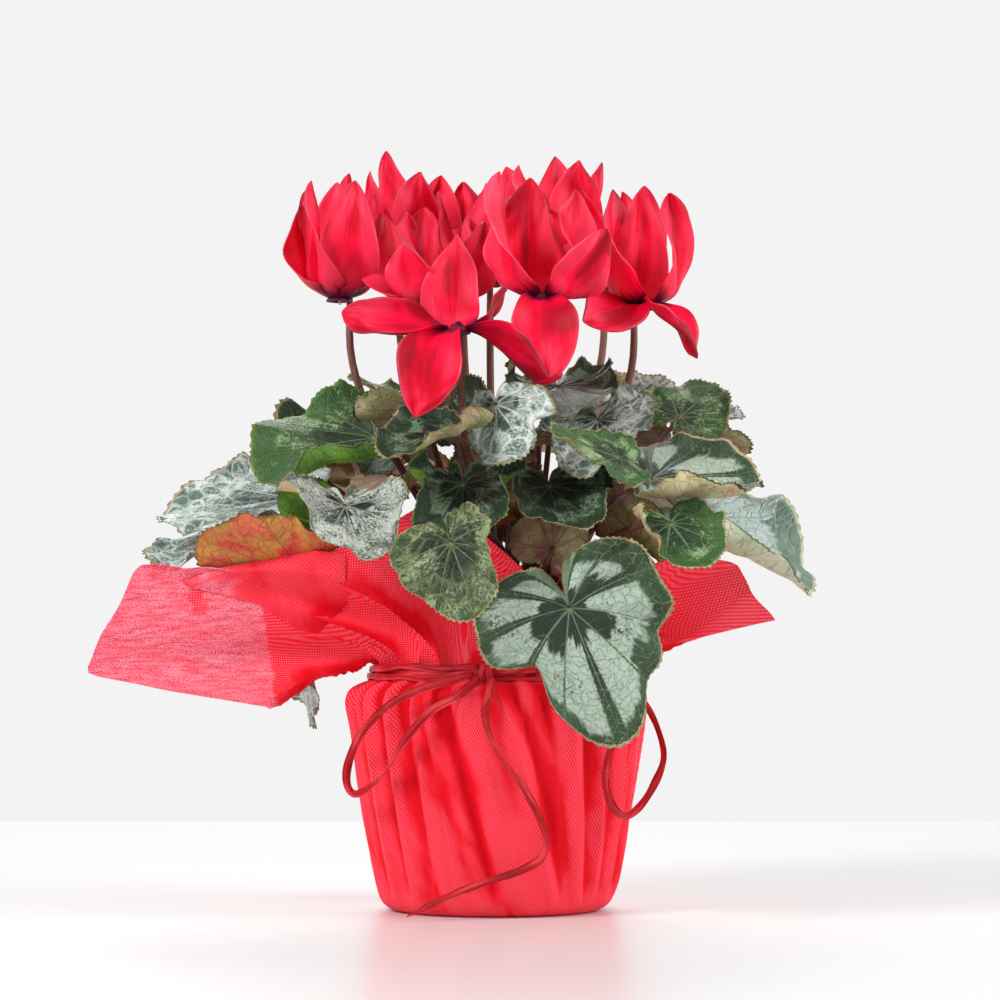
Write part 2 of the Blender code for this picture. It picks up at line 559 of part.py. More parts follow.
def leaf_points(leaf, part, theta):
    """Points of the leaf's middle surface: part runs from 0 at the stalk to 1 at the rim."""
    attach = np.array(leaf.attach, float)
    length = np.linalg.norm(leaf.tip - attach)
    reach = outline(theta) * part * length
    x, y = reach * np.cos(theta), reach * np.sin(theta) * leaf.width
    soft = FOLD_SOFTNESS * length
    z = leaf.fold * (np.hypot(y, soft) - soft)
    wave = notch(theta) ** 2 * np.sin(LEAF_WAVES * theta + leaf.phase)
    z = z + leaf.ruffle * length * part ** 3 * wave
    x, z = roll(x, z, TIP_CURL_START * length, (1 - TIP_CURL_START) * length, leaf.tip_curl)
    start, span = CURL_START * length, (CURL_END * leaf.width - CURL_START) * length
    y, z = roll(y, z, start, span, leaf.left_curl)
    y, z = roll(-y, z, start, span, leaf.right_curl)
    along, up = leaf_axes(leaf)
    return attach + np.outer(x, along) - np.outer(y, np.cross(up, along)) + np.outer(z, up)


def leaf_axes(leaf):
    """Unit vectors towards the tip and out of the upper side."""
    along = unit(np.subtract(leaf.tip, leaf.attach))
    face = np.array(leaf.face, float)
    return along, unit(face - along * face.dot(along))


def blade(leaf, thickness):
    """The leaf's blade: its stalk point, one ring and a rim with coarse teeth."""
    ring, rim = np.arange(LEAF_RING), np.arange(LEAF_RIM)
    teeth = 1.0 + LEAF_TEETH_DEPTH * np.where(rim % 2, 1, -1)
    part = np.concatenate([[0.0], np.full(LEAF_RING, LEAF_RING_AT), teeth])
    turn = np.concatenate([[0.5], ring / LEAF_RING, rim / LEAF_RIM]) - 0.5
    points, faces = leaf_points(leaf, part, 2 * math.pi * turn), []
    for i in range(LEAF_RING):
        j = (i + 1) % LEAF_RING
        a, b = 1 + i, 1 + j
        outer = 1 + LEAF_RING
        c, d, e = outer + 2 * i, outer + 2 * i + 1, outer + (2 * i + 2) % LEAF_RIM
        faces += [(0, a, b), (a, c, d), (a, d, b), (b, d, e)]
    return thicken(points, faces, thickness)


def stalk_path(leaf, gap, bow):
    """From the corm up and out in an arch, to the underside of the blade at its stalk point."""
    sideways, lift = bow
    attach = np.array(leaf.attach, float)
    along, up = leaf_axes(leaf)
    out = unit((attach[0], attach[1], 0))
    aside = np.cross((0, 0, 1), out) * sideways
    ring = min(STALK_ROOT[2], STALK_ROOT[0] + STALK_ROOT[1] * math.hypot(attach[0], attach[1]))
    root = ring * out + STALK_BOWED[0] * aside + (0, 0, CORM_MIDDLE + CORM_HEIGHT / 2 - STALK_ROOT_DEPTH)
    reach = np.linalg.norm(attach - root)
    end = attach - (LEAF_THICKNESS / 2 + gap) * up
    rise = root + STALK_RISE[0] * reach * out + aside + (0, 0, STALK_RISE[1] * lift * reach)
    arrive = end + STALK_BOWED[1] * aside - STALK_ARRIVAL[0] * reach * along
    arrive = arrive - STALK_ARRIVAL[1] * lift * reach * up
    return bezier(root, rise, arrive, end, STALK_STEPS)


# Blooms

def petal_line(bloom, petal, part):
    """The petal's centreline at parts of its length, with the ways across it and out of its inner face."""
    azimuth, flare, length, twist = petal
    out, up = direction(azimuth), np.array((0.0, 0.0, 1.0))
    middles = (np.arange(PETAL_STEPS) + 0.5) / PETAL_STEPS
    bend = np.minimum(1.0, middles / PETAL_BEND_END)
    bend = bend * bend * (3 - 2 * bend)
    angles = (90 - flare) * (PETAL_START_LEAN + (1 - PETAL_START_LEAN) * bend)
    angles = np.radians(angles + PETAL_TIP_BEND * np.maximum(0.0, middles - PETAL_BEND_END))
    stops = np.linspace(0, 1, PETAL_STEPS + 1)
    outward = np.interp(part, stops, np.append(0, np.cumsum(np.cos(angles))) * length / PETAL_STEPS)
    upward = np.interp(part, stops, np.append(0, np.cumsum(np.sin(angles))) * length / PETAL_STEPS)
    spots = bloom.mouth + np.outer(PETAL_START[0] + outward, out) + np.outer(PETAL_START[1] + upward, up)
    angle = np.interp(part, middles, angles)
    side = np.cross(up, out)
    facing = np.outer(np.cos(angle), np.cross(side, out)) + np.outer(np.sin(angle), np.cross(side, up))
    turn = np.radians(twist * part)[:, None]
    return spots, side * np.cos(turn) + facing * np.sin(turn), facing * np.cos(turn) - side * np.sin(turn)


def petal_points(bloom, petal, part, side):
    """Points of the petal: part runs from 0 at the mouth to 1 at the tip, side from -1 to 1 across it."""
    spots, across, facing = petal_line(bloom, petal, part)
    half = bloom.width / 2 * (4 * part * (1 - part)) ** PETAL_TAPER + PETAL_ROOT_HALF * (1 - part) ** 2
    return spots + (half * side)[:, None] * across - (PETAL_TROUGH * half * side * side)[:, None] * facing


def petal_shape(bloom, petal, thickness):
    part = np.append(np.repeat(PETAL_STATIONS, 3), 1.0)
    side = np.append(np.tile((-1.0, 0.0, 1.0), len(PETAL_STATIONS)), 0.0)
    points, faces = petal_points(bloom, petal, part, side), []
    tip = len(points) - 1
    for row in range(len(PETAL_STATIONS) - 1):
        for column in range(2):
            a = 3 * row + column
            faces += [(a, a + 1, a + 4), (a, a + 4, a + 3)]
    faces += [(tip - 3, tip - 2, tip), (tip - 2, tip - 1, tip)]
    return thicken(points, faces, thickness)


def calyx_shape(bloom):
    profile = ((0, -MOUTH_LIP), (MOUTH_RADIUS, -MOUTH_LIP), (CALYX_RADIUS, CALYX_HEIGHT), (0, CALYX_HEIGHT))
    points, faces = turned(profile, CALYX_SEGMENTS)
    return points + np.array(bloom.mouth, float), faces


def neck_start(bloom):
    return np.array(bloom.mouth, float) + NECK_OFFSET * direction(bloom.stem_azimuth) - (0, 0, NECK_DROP)


def neck_shape(bloom):
    """The hooked end of the flower stem, which comes up beside the mouth and bends over into the calyx."""
    mouth, side = np.array(bloom.mouth, float), direction(bloom.stem_azimuth)
    path = [neck_start(bloom), neck_start(bloom) + (0, 0, NECK_STRAIGHT * NECK_DROP)]
    path += [mouth + part * NECK_OFFSET * side + (0, 0, height) for part, height in NECK_HOOK]
    return tube(path, FLOWER_STEM_RADIUS, STALK_SIDES)


def flower_stem_path(bloom):
    top = neck_start(bloom) - (0, 0, GAP)
    out = unit((top[0], top[1], 0))
    root = FLOWER_STEM_ROOT * out + (0, 0, CORM_MIDDLE + CORM_HEIGHT / 2 - STALK_ROOT_DEPTH)
    reach = np.linalg.norm(top - root)
    first, last = (0, 0, FLOWER_STEM_LEADS[0] * reach), (0, 0, FLOWER_STEM_LEADS[1] * reach)
    return bezier(root, root + first, top - last, top, FLOWER_STEM_STEPS)


def bloom_shapes(bloom, thickness):
    petals = [petal_shape(bloom, petal, thickness) for petal in bloom.petals]
    return [calyx_shape(bloom), neck_shape(bloom)] + petals


# Finding clear places

def merged(shapes):
    """One shape from several, not joined where they meet."""
    points, faces, count = [], [], 0
    for part_points, part_faces in shapes:
        points.append(part_points)
        faces += [tuple(int(corner) + count for corner in face) for face in part_faces]
        count += len(part_points)
    return np.concatenate(points), faces


def tree(shape):
    points, faces = shape
    return BVHTree.FromPolygons(points.tolist(), [tuple(map(int, f)) for f in faces])


class Clearance:
    """The shapes placed so far. Stalks may cross stalks, because they are fused where they meet."""

    def __init__(self, solids):
        self.solids, self.stalks = solids, []
        self.solid_tree = self.whole_tree = tree(merged(solids))

    def add(self, solids, stalks):
        self.solids += solids
        self.stalks += stalks
        self.solid_tree = tree(merged(self.solids))
        self.whole_tree = tree(merged(self.solids + self.stalks))

    def takes(self, solid):
        return not solid.overlap(self.whole_tree)

    def takes_stalk(self, path, radius=STALK_RADIUS):
        return not tree(tube(path, radius + GAP, STALK_SIDES)).overlap(self.solid_tree)


def moves(sizes, reach):
    """(shift, size) to try, the least visible from the front first, where depth shows least."""
    sideways, deep = reach
    flat = range(-sideways, sideways + 1, SEARCH_STEP)
    depths = range(-deep, deep + 1, SEARCH_STEP)
    steps = [((x, y, z), size) for x in flat for y in depths for z in flat for size in sizes]

    def cost(step):
        (x, y, z), size = step
        return x * x + (DEPTH_COST * y) ** 2 + z * z + (SHRINK_COST * (1 - size)) ** 2

    return sorted(steps, key=cost)


def moved(shape, shift):
    return shape[0] + np.array(shift, float), shape[1]


def sized_bloom(bloom, size):
    petals = tuple((azimuth, flare, length * size, twist) for azimuth, flare, length, twist in bloom.petals)
    return bloom._replace(width=bloom.width * size, petals=petals)


def place_bloom(bloom, clearance):
    """The bloom at the first clear place near its own, a little smaller where the bunch is tight."""
    sized = {size: sized_bloom(bloom, size) for size in BLOOM_SIZES}
    shapes = {size: merged(bloom_shapes(sized[size], PETAL_THICKNESS + GAP)) for size in BLOOM_SIZES}
    for shift, size in moves(BLOOM_SIZES, BLOOM_REACH):
        whole = moved(shapes[size], shift)
        if not clearance.takes(tree(whole)):
            continue
        candidate = sized[size]._replace(mouth=tuple(np.add(bloom.mouth, shift)))
        path = flower_stem_path(candidate)
        if clearance.takes_stalk(path, FLOWER_STEM_RADIUS):
            clearance.add([whole], [tube(path, FLOWER_STEM_RADIUS, STALK_SIDES)])
            return candidate
    raise ValueError(f"{bloom.name} has no clear place")


def seated_path(leaf, bow, under):
    """The stalk's path, ended as close under the blade as its end allows, or None if it cuts the blade."""
    for seat in range(STALK_SEATS):
        path = stalk_path(leaf, STALK_SEAT_STEP * seat, bow)
        if not tree(tube(path, STALK_RADIUS, STALK_SIDES)).overlap(under):
            return path
    return None


def clear_stalk(leaf, under, clearance):
    """The path of the first stalk, straight or bowed, that is clear of what is placed, or None."""
    for bow in STALK_BOWS:
        if not clearance.takes_stalk(stalk_path(leaf, GAP, bow)):
            continue
        path = seated_path(leaf, bow, under)
        if path is not None and clearance.takes_stalk(path):
            return path
    return None


def place_leaf(leaf, clearance):
    """The leaf at the first clear place near its own, smaller where that is easier, and its stalk."""
    sized, thick = {}, {}
    for size in LEAF_SIZES:
        tip = np.add(leaf.attach, size * np.subtract(leaf.tip, leaf.attach))
        sized[size] = leaf._replace(tip=tuple(tip))
        thick[size] = blade(sized[size], LEAF_THICKNESS + 2 * GAP)
    for shift, size in moves(LEAF_SIZES, LEAF_REACH):
        near, whole = sized[size], moved(thick[size], shift)
        under = tree(whole)
        if not clearance.takes(under):
            continue
        attach, tip = np.add(near.attach, shift), np.add(near.tip, shift)
        candidate = near._replace(attach=tuple(attach), tip=tuple(tip))
        path = clear_stalk(candidate, under, clearance)
        if path is not None:
            stalk = tube(path, STALK_RADIUS, STALK_SIDES)
            clearance.add([whole], [stalk])
            return candidate, stalk
    raise ValueError(f"{leaf.name} has no clear place")


def main():
    clear_scene()
    build_pot()
    soil = build_soil()
    build_band()
    wrap = wrap_shape()
    add_object("wrap", wrap, "wrap")
    clearance = Clearance([soil, wrap] + [build_cord(name, route) for name, route in CORDS])
    crown = [ellipsoid((0, 0, CORM_MIDDLE), CORM_SIZE, CORM_SEGMENTS, CORM_RINGS)]
    for bloom in [place_bloom(bloom, clearance) for bloom in BLOOMS]:
        union("bloom_" + bloom.name, bloom_shapes(bloom, PETAL_THICKNESS), "bloom")
        crown.append(tube(flower_stem_path(bloom), FLOWER_STEM_RADIUS, STALK_SIDES))
    for leaf, stalk in [place_leaf(leaf, clearance) for leaf in LEAVES]:
        add_object("leaf_" + leaf.name, blade(leaf, LEAF_THICKNESS), "leaf")
        crown.append(stalk)
    union("crown", crown, "crown")


main()
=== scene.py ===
import math
from collections import namedtuple

import bpy
import numpy as np
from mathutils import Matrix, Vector
from mathutils.bvhtree import BVHTree
from mathutils.kdtree import KDTree


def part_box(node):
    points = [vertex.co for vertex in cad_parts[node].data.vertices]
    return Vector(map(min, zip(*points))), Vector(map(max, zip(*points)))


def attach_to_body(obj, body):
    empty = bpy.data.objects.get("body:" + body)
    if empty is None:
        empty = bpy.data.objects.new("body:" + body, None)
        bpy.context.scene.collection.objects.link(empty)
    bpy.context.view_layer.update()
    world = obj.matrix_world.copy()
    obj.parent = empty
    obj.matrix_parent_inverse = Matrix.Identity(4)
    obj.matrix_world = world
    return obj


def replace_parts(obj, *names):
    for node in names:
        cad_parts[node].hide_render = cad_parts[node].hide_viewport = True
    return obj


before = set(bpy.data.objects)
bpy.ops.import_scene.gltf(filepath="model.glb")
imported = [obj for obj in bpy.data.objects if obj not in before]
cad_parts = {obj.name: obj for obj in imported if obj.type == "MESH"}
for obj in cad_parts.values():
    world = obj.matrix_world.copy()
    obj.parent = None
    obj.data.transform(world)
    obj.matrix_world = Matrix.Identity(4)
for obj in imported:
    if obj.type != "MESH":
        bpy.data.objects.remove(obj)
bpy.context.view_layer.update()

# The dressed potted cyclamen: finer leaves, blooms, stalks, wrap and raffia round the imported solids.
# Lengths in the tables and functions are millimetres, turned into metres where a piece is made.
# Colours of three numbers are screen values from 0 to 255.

MM = 0.001

# Camera and studio
CAMERA_PLACE = (0.0019, -1.5, 0.121)
CAMERA_TILT = 92.895
CAMERA_LENS = 111.8
BACKGROUND = (0.905, 0.897, 0.897)
ROOM_STRENGTH = 0.54  # of the backdrop's brightness
TABLE_BACK = 800.0
TABLE_HALF = 3000.0
TABLE_DEPTH = 20.0
# (name, place, size, watts, aim) in metres
LAMPS = (
    ("left softbox", (-1.2, -1.1, 1.3), 0.7, 29.0, (0, 0, 0.2)),
    ("right softbox", (1.5, -0.5, 0.9), 0.8, 19.0, (0, 0, 0.15)),
    ("back softbox", (-0.2, 1.5, 1.4), 1.0, 18.0, (0, 0, 0.25)),
)

camera = bpy.data.objects.new("camera", bpy.data.cameras.new("camera"))
camera.data.lens = CAMERA_LENS
camera.data.sensor_width = 36.0
camera.location = CAMERA_PLACE
camera.rotation_euler = (math.radians(CAMERA_TILT), 0.0, 0.0)
bpy.context.scene.collection.objects.link(camera)
bpy.context.scene.camera = camera
bpy.context.scene.view_settings.view_transform = "Standard"


# Vectors and colours

def unit(vector):
    vector = np.asarray(vector, float)
    return vector / np.linalg.norm(vector)


def direction(azimuth):
    angle = math.radians(azimuth)
    return np.array((math.cos(angle), math.sin(angle), 0.0))


def srgb(red, green, blue):
    """A linear colour from 0 to 255 screen values."""
    shares = np.array((red, green, blue)) / 255
    return (*(np.where(shares <= 0.04045, shares / 12.92, ((shares + 0.055) / 1.055) ** 2.4)).tolist(), 1.0)


def smoothstep(value, low, high):
    part = np.clip((np.asarray(value, float) - low) / (high - low), 0.0, 1.0)
    return part * part * (3 - 2 * part)


def waves(table, angle, phases):
    """The sum of sines named by (size, count, which phase)."""
    return sum(size * np.sin(count * angle + phases[which]) for size, count, which in table)


# Materials

class Value:
    """A node's output, which arithmetic signs join to others with Math nodes."""

    def __init__(self, shader, socket):
        self.shader = shader
        self.socket = socket

    def __add__(self, other):
        return self.shader.math("ADD", self, other)

    def __sub__(self, other):
        return self.shader.math("SUBTRACT", self, other)

    def __rsub__(self, other):
        return self.shader.math("SUBTRACT", other, self)

    def __mul__(self, other):
        return self.shader.math("MULTIPLY", self, other)

    def __truediv__(self, other):
        return self.shader.math("DIVIDE", self, other)

    def smooth(self, low, high, start=0.0, end=1.0):
        inputs = {"Value": self, "From Min": low, "From Max": high, "To Min": start, "To Max": end}
        return self.shader.node("MapRange", inputs, "Result", interpolation_type="SMOOTHSTEP")


class Shader:
    """One procedural material, built node by node."""

    def __init__(self, name, **constants):
        self.material = bpy.data.materials.new(name)
        self.material.use_nodes = True
        self.tree = self.material.node_tree
        self.surface = self.tree.nodes["Principled BSDF"]
        for socket, value in constants.items():
            self.feed(self.surface.inputs[socket.replace("_", " ")], value)

    def feed(self, socket, value):
        if isinstance(value, Value):
            self.tree.links.new(value.socket, socket)
        elif socket.type == "RGBA" and len(value) == 3:
            socket.default_value = srgb(*value)
        else:
            socket.default_value = value

    def node(self, kind, inputs=(), output=0, **settings):
        made = self.tree.nodes.new("ShaderNode" + kind)
        for key, value in settings.items():
            setattr(made, key, value)
        for socket, value in dict(inputs).items():
            self.feed(made.inputs[socket], value)
        return Value(self, made.outputs[output])

    def math(self, operation, first, second=0.0):
        return self.node("Math", {0: first, 1: second}, operation=operation)

    def mix(self, share, first, second):
        return self.node("Mix", {0: share, 6: first, 7: second}, 2, data_type="RGBA")

    def layered(self, colour, *layers):
        """The colour with each (share, colour) laid over it in turn."""
        for share, over in layers:
            colour = self.mix(share, colour, over)
        return colour

    def value(self, name):
        return self.node("Attribute", (), "Fac", attribute_name=name)

    def scaled(self, vector, scale):
        return self.node("VectorMath", {0: vector, 1: scale}, operation="MULTIPLY")

    def vector(self, name, scale=(1, 1, 1)):
        return self.scaled(self.node("Attribute", (), "Vector", attribute_name=name), scale)

    def place(self, scale=(1, 1, 1)):
        return self.scaled(self.node("TexCoord", (), "Object"), scale)

    def axis(self, vector, index):
        return self.node("SeparateXYZ", {0: vector}, index)

    def noise(self, vector, scale=1.0, detail=2.0, roughness=0.5):
        inputs = {"Vector": vector, "Scale": scale, "Detail": detail, "Roughness": roughness}
        return self.node("TexNoise", inputs)

    def cells(self, vector, scale):
        """Distance to the nearest edge between cells."""
        inputs = {"Vector": vector, "Scale": scale}
        return self.node("TexVoronoi", inputs, "Distance", feature="DISTANCE_TO_EDGE")

    def colour(self, value):
        self.feed(self.surface.inputs["Base Color"], value)

    def roughness(self, value):
        self.feed(self.surface.inputs["Roughness"], value)

    def bump(self, height, distance, strength=1.0):
        made = self.node("Bump", {"Height": height, "Distance": distance, "Strength": strength})
        self.feed(self.surface.inputs["Normal"], made)


def plain_material(name, first, second, grain, rough, bump=0.0):
    """Two colours mixed by one grain, which also sets the roughness and, where bump is given, the relief."""
    shader = Shader(name)
    speck = shader.noise(shader.place(), *grain)
    shader.colour(shader.mix(speck, first, second))
    shader.roughness(speck.smooth(0.3, 0.7, *rough))
    if bump:
        shader.bump(speck, bump)
    return shader.material


# Meshes

def add_piece(name, shape, material, values=(), sharp=60, body="root"):
    """A mesh piece from (points in mm, blocks of faces) that rides on the body."""
    points, faces = shape
    mesh = bpy.data.meshes.new(name)
    corners = [face for block in faces for face in block.tolist()]
    mesh.from_pydata((np.asarray(points) * MM).tolist(), [], corners)
    for key, numbers in dict(values).items():
        numbers = np.asarray(numbers, np.float32)
        kind = "FLOAT_VECTOR" if numbers.ndim == 2 else "FLOAT"
        field = mesh.attributes.new(key, kind, "POINT")
        field.data.foreach_set("vector" if numbers.ndim == 2 else "value", numbers.ravel())
    mesh.materials.append(material)
    mesh.shade_smooth()
    mesh.set_sharp_from_angle(angle=math.radians(sharp))
    obj = bpy.data.objects.new(name, mesh)
    bpy.context.scene.collection.objects.link(obj)
    if body:
        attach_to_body(obj, body)
    return obj


def thicken(points, faces, thickness, values=(), middle=True):
    """A closed thin sheet round a surface: the front is on its normals' side, and the back has under = 1."""
    normals = np.zeros_like(points)
    for block in faces:
        corners = points[block]
        flat = np.cross(corners[:, 2] - corners[:, 0], corners[:, -1] - corners[:, 1])
        if block.shape[1] == 3:
            flat = np.cross(corners[:, 1] - corners[:, 0], corners[:, 2] - corners[:, 0])
        for corner in range(block.shape[1]):
            np.add.at(normals, block[:, corner], flat)
    normals /= np.maximum(np.linalg.norm(normals, axis=1), 1e-12)[:, None]
    count = len(points)
    front = points + normals * (thickness / 2 if middle else 0.0)
    back = front - normals * thickness
    edges = np.concatenate([np.stack([block[:, i], block[:, (i + 1) % block.shape[1]]], axis=1)
                            for block in faces for i in range(block.shape[1])])
    free = edges[~np.isin(edges[:, 0] * count + edges[:, 1], edges[:, 1] * count + edges[:, 0])]
    rim = np.stack([free[:, 1], free[:, 0], free[:, 0] + count, free[:, 1] + count], axis=1)
    both = {key: np.concatenate([numbers, numbers]) for key, numbers in dict(values).items()}
    both["under"] = np.repeat((0.0, 1.0), count)
    blocks = list(faces) + [block[:, ::-1] + count for block in faces] + [rim]
    return (np.concatenate([front, back]), blocks), both


def grid_faces(rows, columns, closed=False):
    """Quads of a grid of points, row by row, closed round its columns or open."""
    last = columns if closed else columns - 1
    row, column = np.meshgrid(np.arange(rows - 1), np.arange(last), indexing="ij")
    a = (row * columns + column).ravel()
    b = (row * columns + (column + 1) % columns).ravel()
    return np.stack([a, b, b + columns, a + columns], axis=1)


def tube_faces(rows, sides):
    """A closed grid of quads with a flat cap at each end."""
    around = np.arange(sides)[None, :]
    return [grid_faces(rows, sides, closed=True), around[:, ::-1], (rows - 1) * sides + around]


def tangents_along(path):
    tangents = np.gradient(path, axis=0)
    return tangents / np.linalg.norm(tangents, axis=1)[:, None]


def run_along(path):
    """Distance along a path to each of its points."""
    return np.concatenate([[0], np.cumsum(np.linalg.norm(np.diff(path, axis=0), axis=1))])


def tube(path, radius, sides):
    """A closed tube along a path, with flat ends; radius is one number or one for each point."""
    path = np.asarray(path, float)
    tangents = tangents_along(path)
    across = unit(np.cross(tangents[0], (0.31, 0.95, 0.07)))
    points = []
    for centre, tangent, reach in zip(path, tangents, np.broadcast_to(radius, len(path))):
        across = unit(across - tangent * across.dot(tangent))
        other = np.cross(tangent, across)
        for side in range(sides):
            angle = 2 * math.pi * side / sides
            points.append(centre + reach * (math.cos(angle) * across + math.sin(angle) * other))
    return np.array(points), tube_faces(len(path), sides)


def merged(shapes):
    points, faces, count = [], [], 0
    for part_points, part_faces in shapes:
        points.append(part_points)
        faces += [block + count for block in part_faces]
        count += len(part_points)
    return np.concatenate(points), faces


def joined(made):
    """One (shape, values) from several."""
    shapes, values = zip(*made)
    return merged(shapes), {key: np.concatenate([each[key] for each in values]) for key in values[0]}


def turned(profile, segments):
    """A closed turned solid from a profile of (radius, height), which starts and ends on the axis."""
    points = [(0.0, 0.0, profile[0][1])]
    for radius, height in profile[1:-1]:
        points += [tuple(radius * direction(360 * i / segments) + (0, 0, height)) for i in range(segments)]
    points.append((0.0, 0.0, profile[-1][1]))
    around = np.arange(segments)
    after = (around + 1) % segments
    last = len(points) - 1
    bottom = np.stack([np.zeros(segments, int), 1 + after, 1 + around], axis=1)
    top = np.stack([np.full(segments, last), last - segments + around, last - segments + after], axis=1)
    return np.array(points), [bottom, top, 1 + grid_faces(len(profile) - 2, segments, closed=True)]


def bezier(first, second, third, fourth, steps):
    t = np.linspace(0, 1, steps + 1)[:, None]
    return ((1 - t) ** 3 * first + 3 * t * (1 - t) ** 2 * second
            + 3 * t * t * (1 - t) * third + t ** 3 * fourth)


def smooth_route(route, spacing):
    """Points read at an even spacing from a smooth curve through the route."""
    route = np.asarray(route, float)
    padded = np.concatenate([[2 * route[0] - route[1]], route, [2 * route[-1] - route[-2]]])
    fine = []
    for before, start, end, after in zip(padded, padded[1:], padded[2:], padded[3:]):
        square = 2 * before - 5 * start + 4 * end - after
        cube = 3 * start - before - 3 * end + after
        for t in np.linspace(0, 1, 12, endpoint=False):
            fine.append(start + 0.5 * ((end - before) * t + square * t ** 2 + cube * t ** 3))
    fine = np.array(fine + [route[-1]])
    reached = run_along(fine)
    stops = np.linspace(0, reached[-1], round(reached[-1] / spacing) + 1)
    return np.stack([np.interp(stops, reached, fine[:, axis]) for axis in range(route.shape[1])], axis=1)


# Table and lights

def add_backdrop():
    """An even pale backdrop that darkens towards the front of the room."""
    world = bpy.data.worlds.new("studio")
    bpy.context.scene.world = world
    world.use_nodes = True
    nodes, links = world.node_tree.nodes, world.node_tree.links
    split = nodes.new("ShaderNodeSeparateXYZ")
    links.new(nodes.new("ShaderNodeTexCoord").outputs["Generated"], split.inputs[0])
    fade = nodes.new("ShaderNodeMapRange")
    for socket, value in (("From Min", 0.45), ("From Max", 0.9), ("To Min", ROOM_STRENGTH), ("To Max", 1.0)):
        fade.inputs[socket].default_value = value
    links.new(split.outputs[1], fade.inputs["Value"])
    nodes["Background"].inputs[0].default_value = (*BACKGROUND, 1.0)
    links.new(fade.outputs["Result"], nodes["Background"].inputs[1])


def add_table():
    top = Shader("table", Roughness=0.3, Specular_IOR_Level=0.35)
    cloud = top.noise(top.place((0.7, 0.7, 0.7)), 1.0, 3.0)
    top.colour(top.mix(cloud, (0.69, 0.687, 0.687, 1), (0.73, 0.727, 0.727, 1)))
    outline_points = ((-TABLE_HALF, -TABLE_HALF), (TABLE_HALF, -TABLE_HALF),
                      (TABLE_HALF, TABLE_BACK), (-TABLE_HALF, TABLE_BACK))
    corners = np.array([(x, y, z) for z in (-TABLE_DEPTH, 0.0) for x, y in outline_points])
    sides = [(i, (i + 1) % 4, (i + 1) % 4 + 4, i + 4) for i in range(4)]
    faces = [np.array([(3, 2, 1, 0), (4, 5, 6, 7)] + sides)]
    add_piece("table", (corners, faces), top.material, body="")


def add_lamps():
    for name, place, size, power, aim in LAMPS:
        light = bpy.data.lights.new(name, "AREA")
        light.size = size
        light.energy = power
        lamp = bpy.data.objects.new(name, light)
        lamp.location = place
        away = np.subtract(place, aim)
        lamp.rotation_euler = (math.atan2(math.hypot(away[0], away[1]), away[2]), 0.0,
                               math.atan2(away[1], away[0]) + math.pi / 2)
        bpy.context.scene.collection.objects.link(lamp)


add_backdrop()
add_table()
add_lamps()

# Raffia

RAFFIA_WIDTH = 4.0
RAFFIA_THICKNESS = 0.35
LOOP_LEFT = (
    (-11.65, -67.7, 113.05), (-23, -71, 109.5), (-38, -68, 105), (-52, -60, 97), (-63, -48, 85),
    (-69, -40, 72), (-70, -38, 62), (-66, -43, 57), (-58, -51, 61), (-50, -58, 70),
    (-41, -65, 84), (-30, -71, 96), (-18, -73.5, 103), (-8.4, -68.6, 110.7),
)
LOOP_RIGHT = (
    (42.75, -45.7, 113.5), (48, -52, 109), (53, -56, 100), (55, -54, 88), (52, -55, 74), (51, -56, 62),
    (54, -54, 52), (60, -49, 47), (67, -44, 51), (74, -40, 61), (79, -36, 74),
    (76, -34, 88), (69, -35, 101), (60, -35, 109), (52.9, -34.6, 114),
)
TAIL = (
    (-2.1, -68.7, 111.25), (-3, -74.5, 103), (-5, -75.5, 96), (-3, -74, 85), (3, -73, 74), (11, -71, 63),
    (19, -69, 50), (23, -67, 38), (21, -67, 29), (11, -67, 23), (-3, -67, 18.5),
    (-17, -67, 13), (-30, -67, 7), (-41, -69, 2.1),
)
# Half of the ribbon's cross-section: (across, out of its face) in parts of half the width
RIBBON_SECTION = (
    (-1.0, 0.05), (-0.62, 0.0), (-0.5, 0.24), (0.1, 0.30), (0.25, 0.06), (0.7, 0.0), (1.0, 0.16),
)
RAFFIA_STEP = 1.6  # between the points of a cord's path
RAFFIA_FACING = (0.05, -1.0, 0.15)
RAFFIA_WANDER = 0.24  # radians of uneven turning
CLOTH_SHIFT = 7.0  # between two ribbons' places in the fibre pattern


def raffia_material():
    shader = Shader("raffia", Specular_IOR_Level=0.3)
    fibres = shader.noise(shader.vector("cloth", (2.2, 0.05, 1.0)), 1.0, 4.0, 0.65)
    patches = shader.noise(shader.vector("cloth", (0.2, 0.05, 1.0)))
    shader.colour(shader.layered(
        shader.mix(fibres.smooth(0.3, 0.7), (128, 0, 12), (222, 16, 36)),
        (patches.smooth(0.45, 0.75, 0.0, 0.8), (240, 70, 80)),
        (patches.smooth(0.2, 0.42, 0.7, 0.0), (96, 0, 8))))
    shader.roughness(fibres.smooth(0.2, 0.8, 0.30, 0.55))
    shader.bump(fibres, 0.0004)
    return shader.material


RAFFIA = raffia_material()


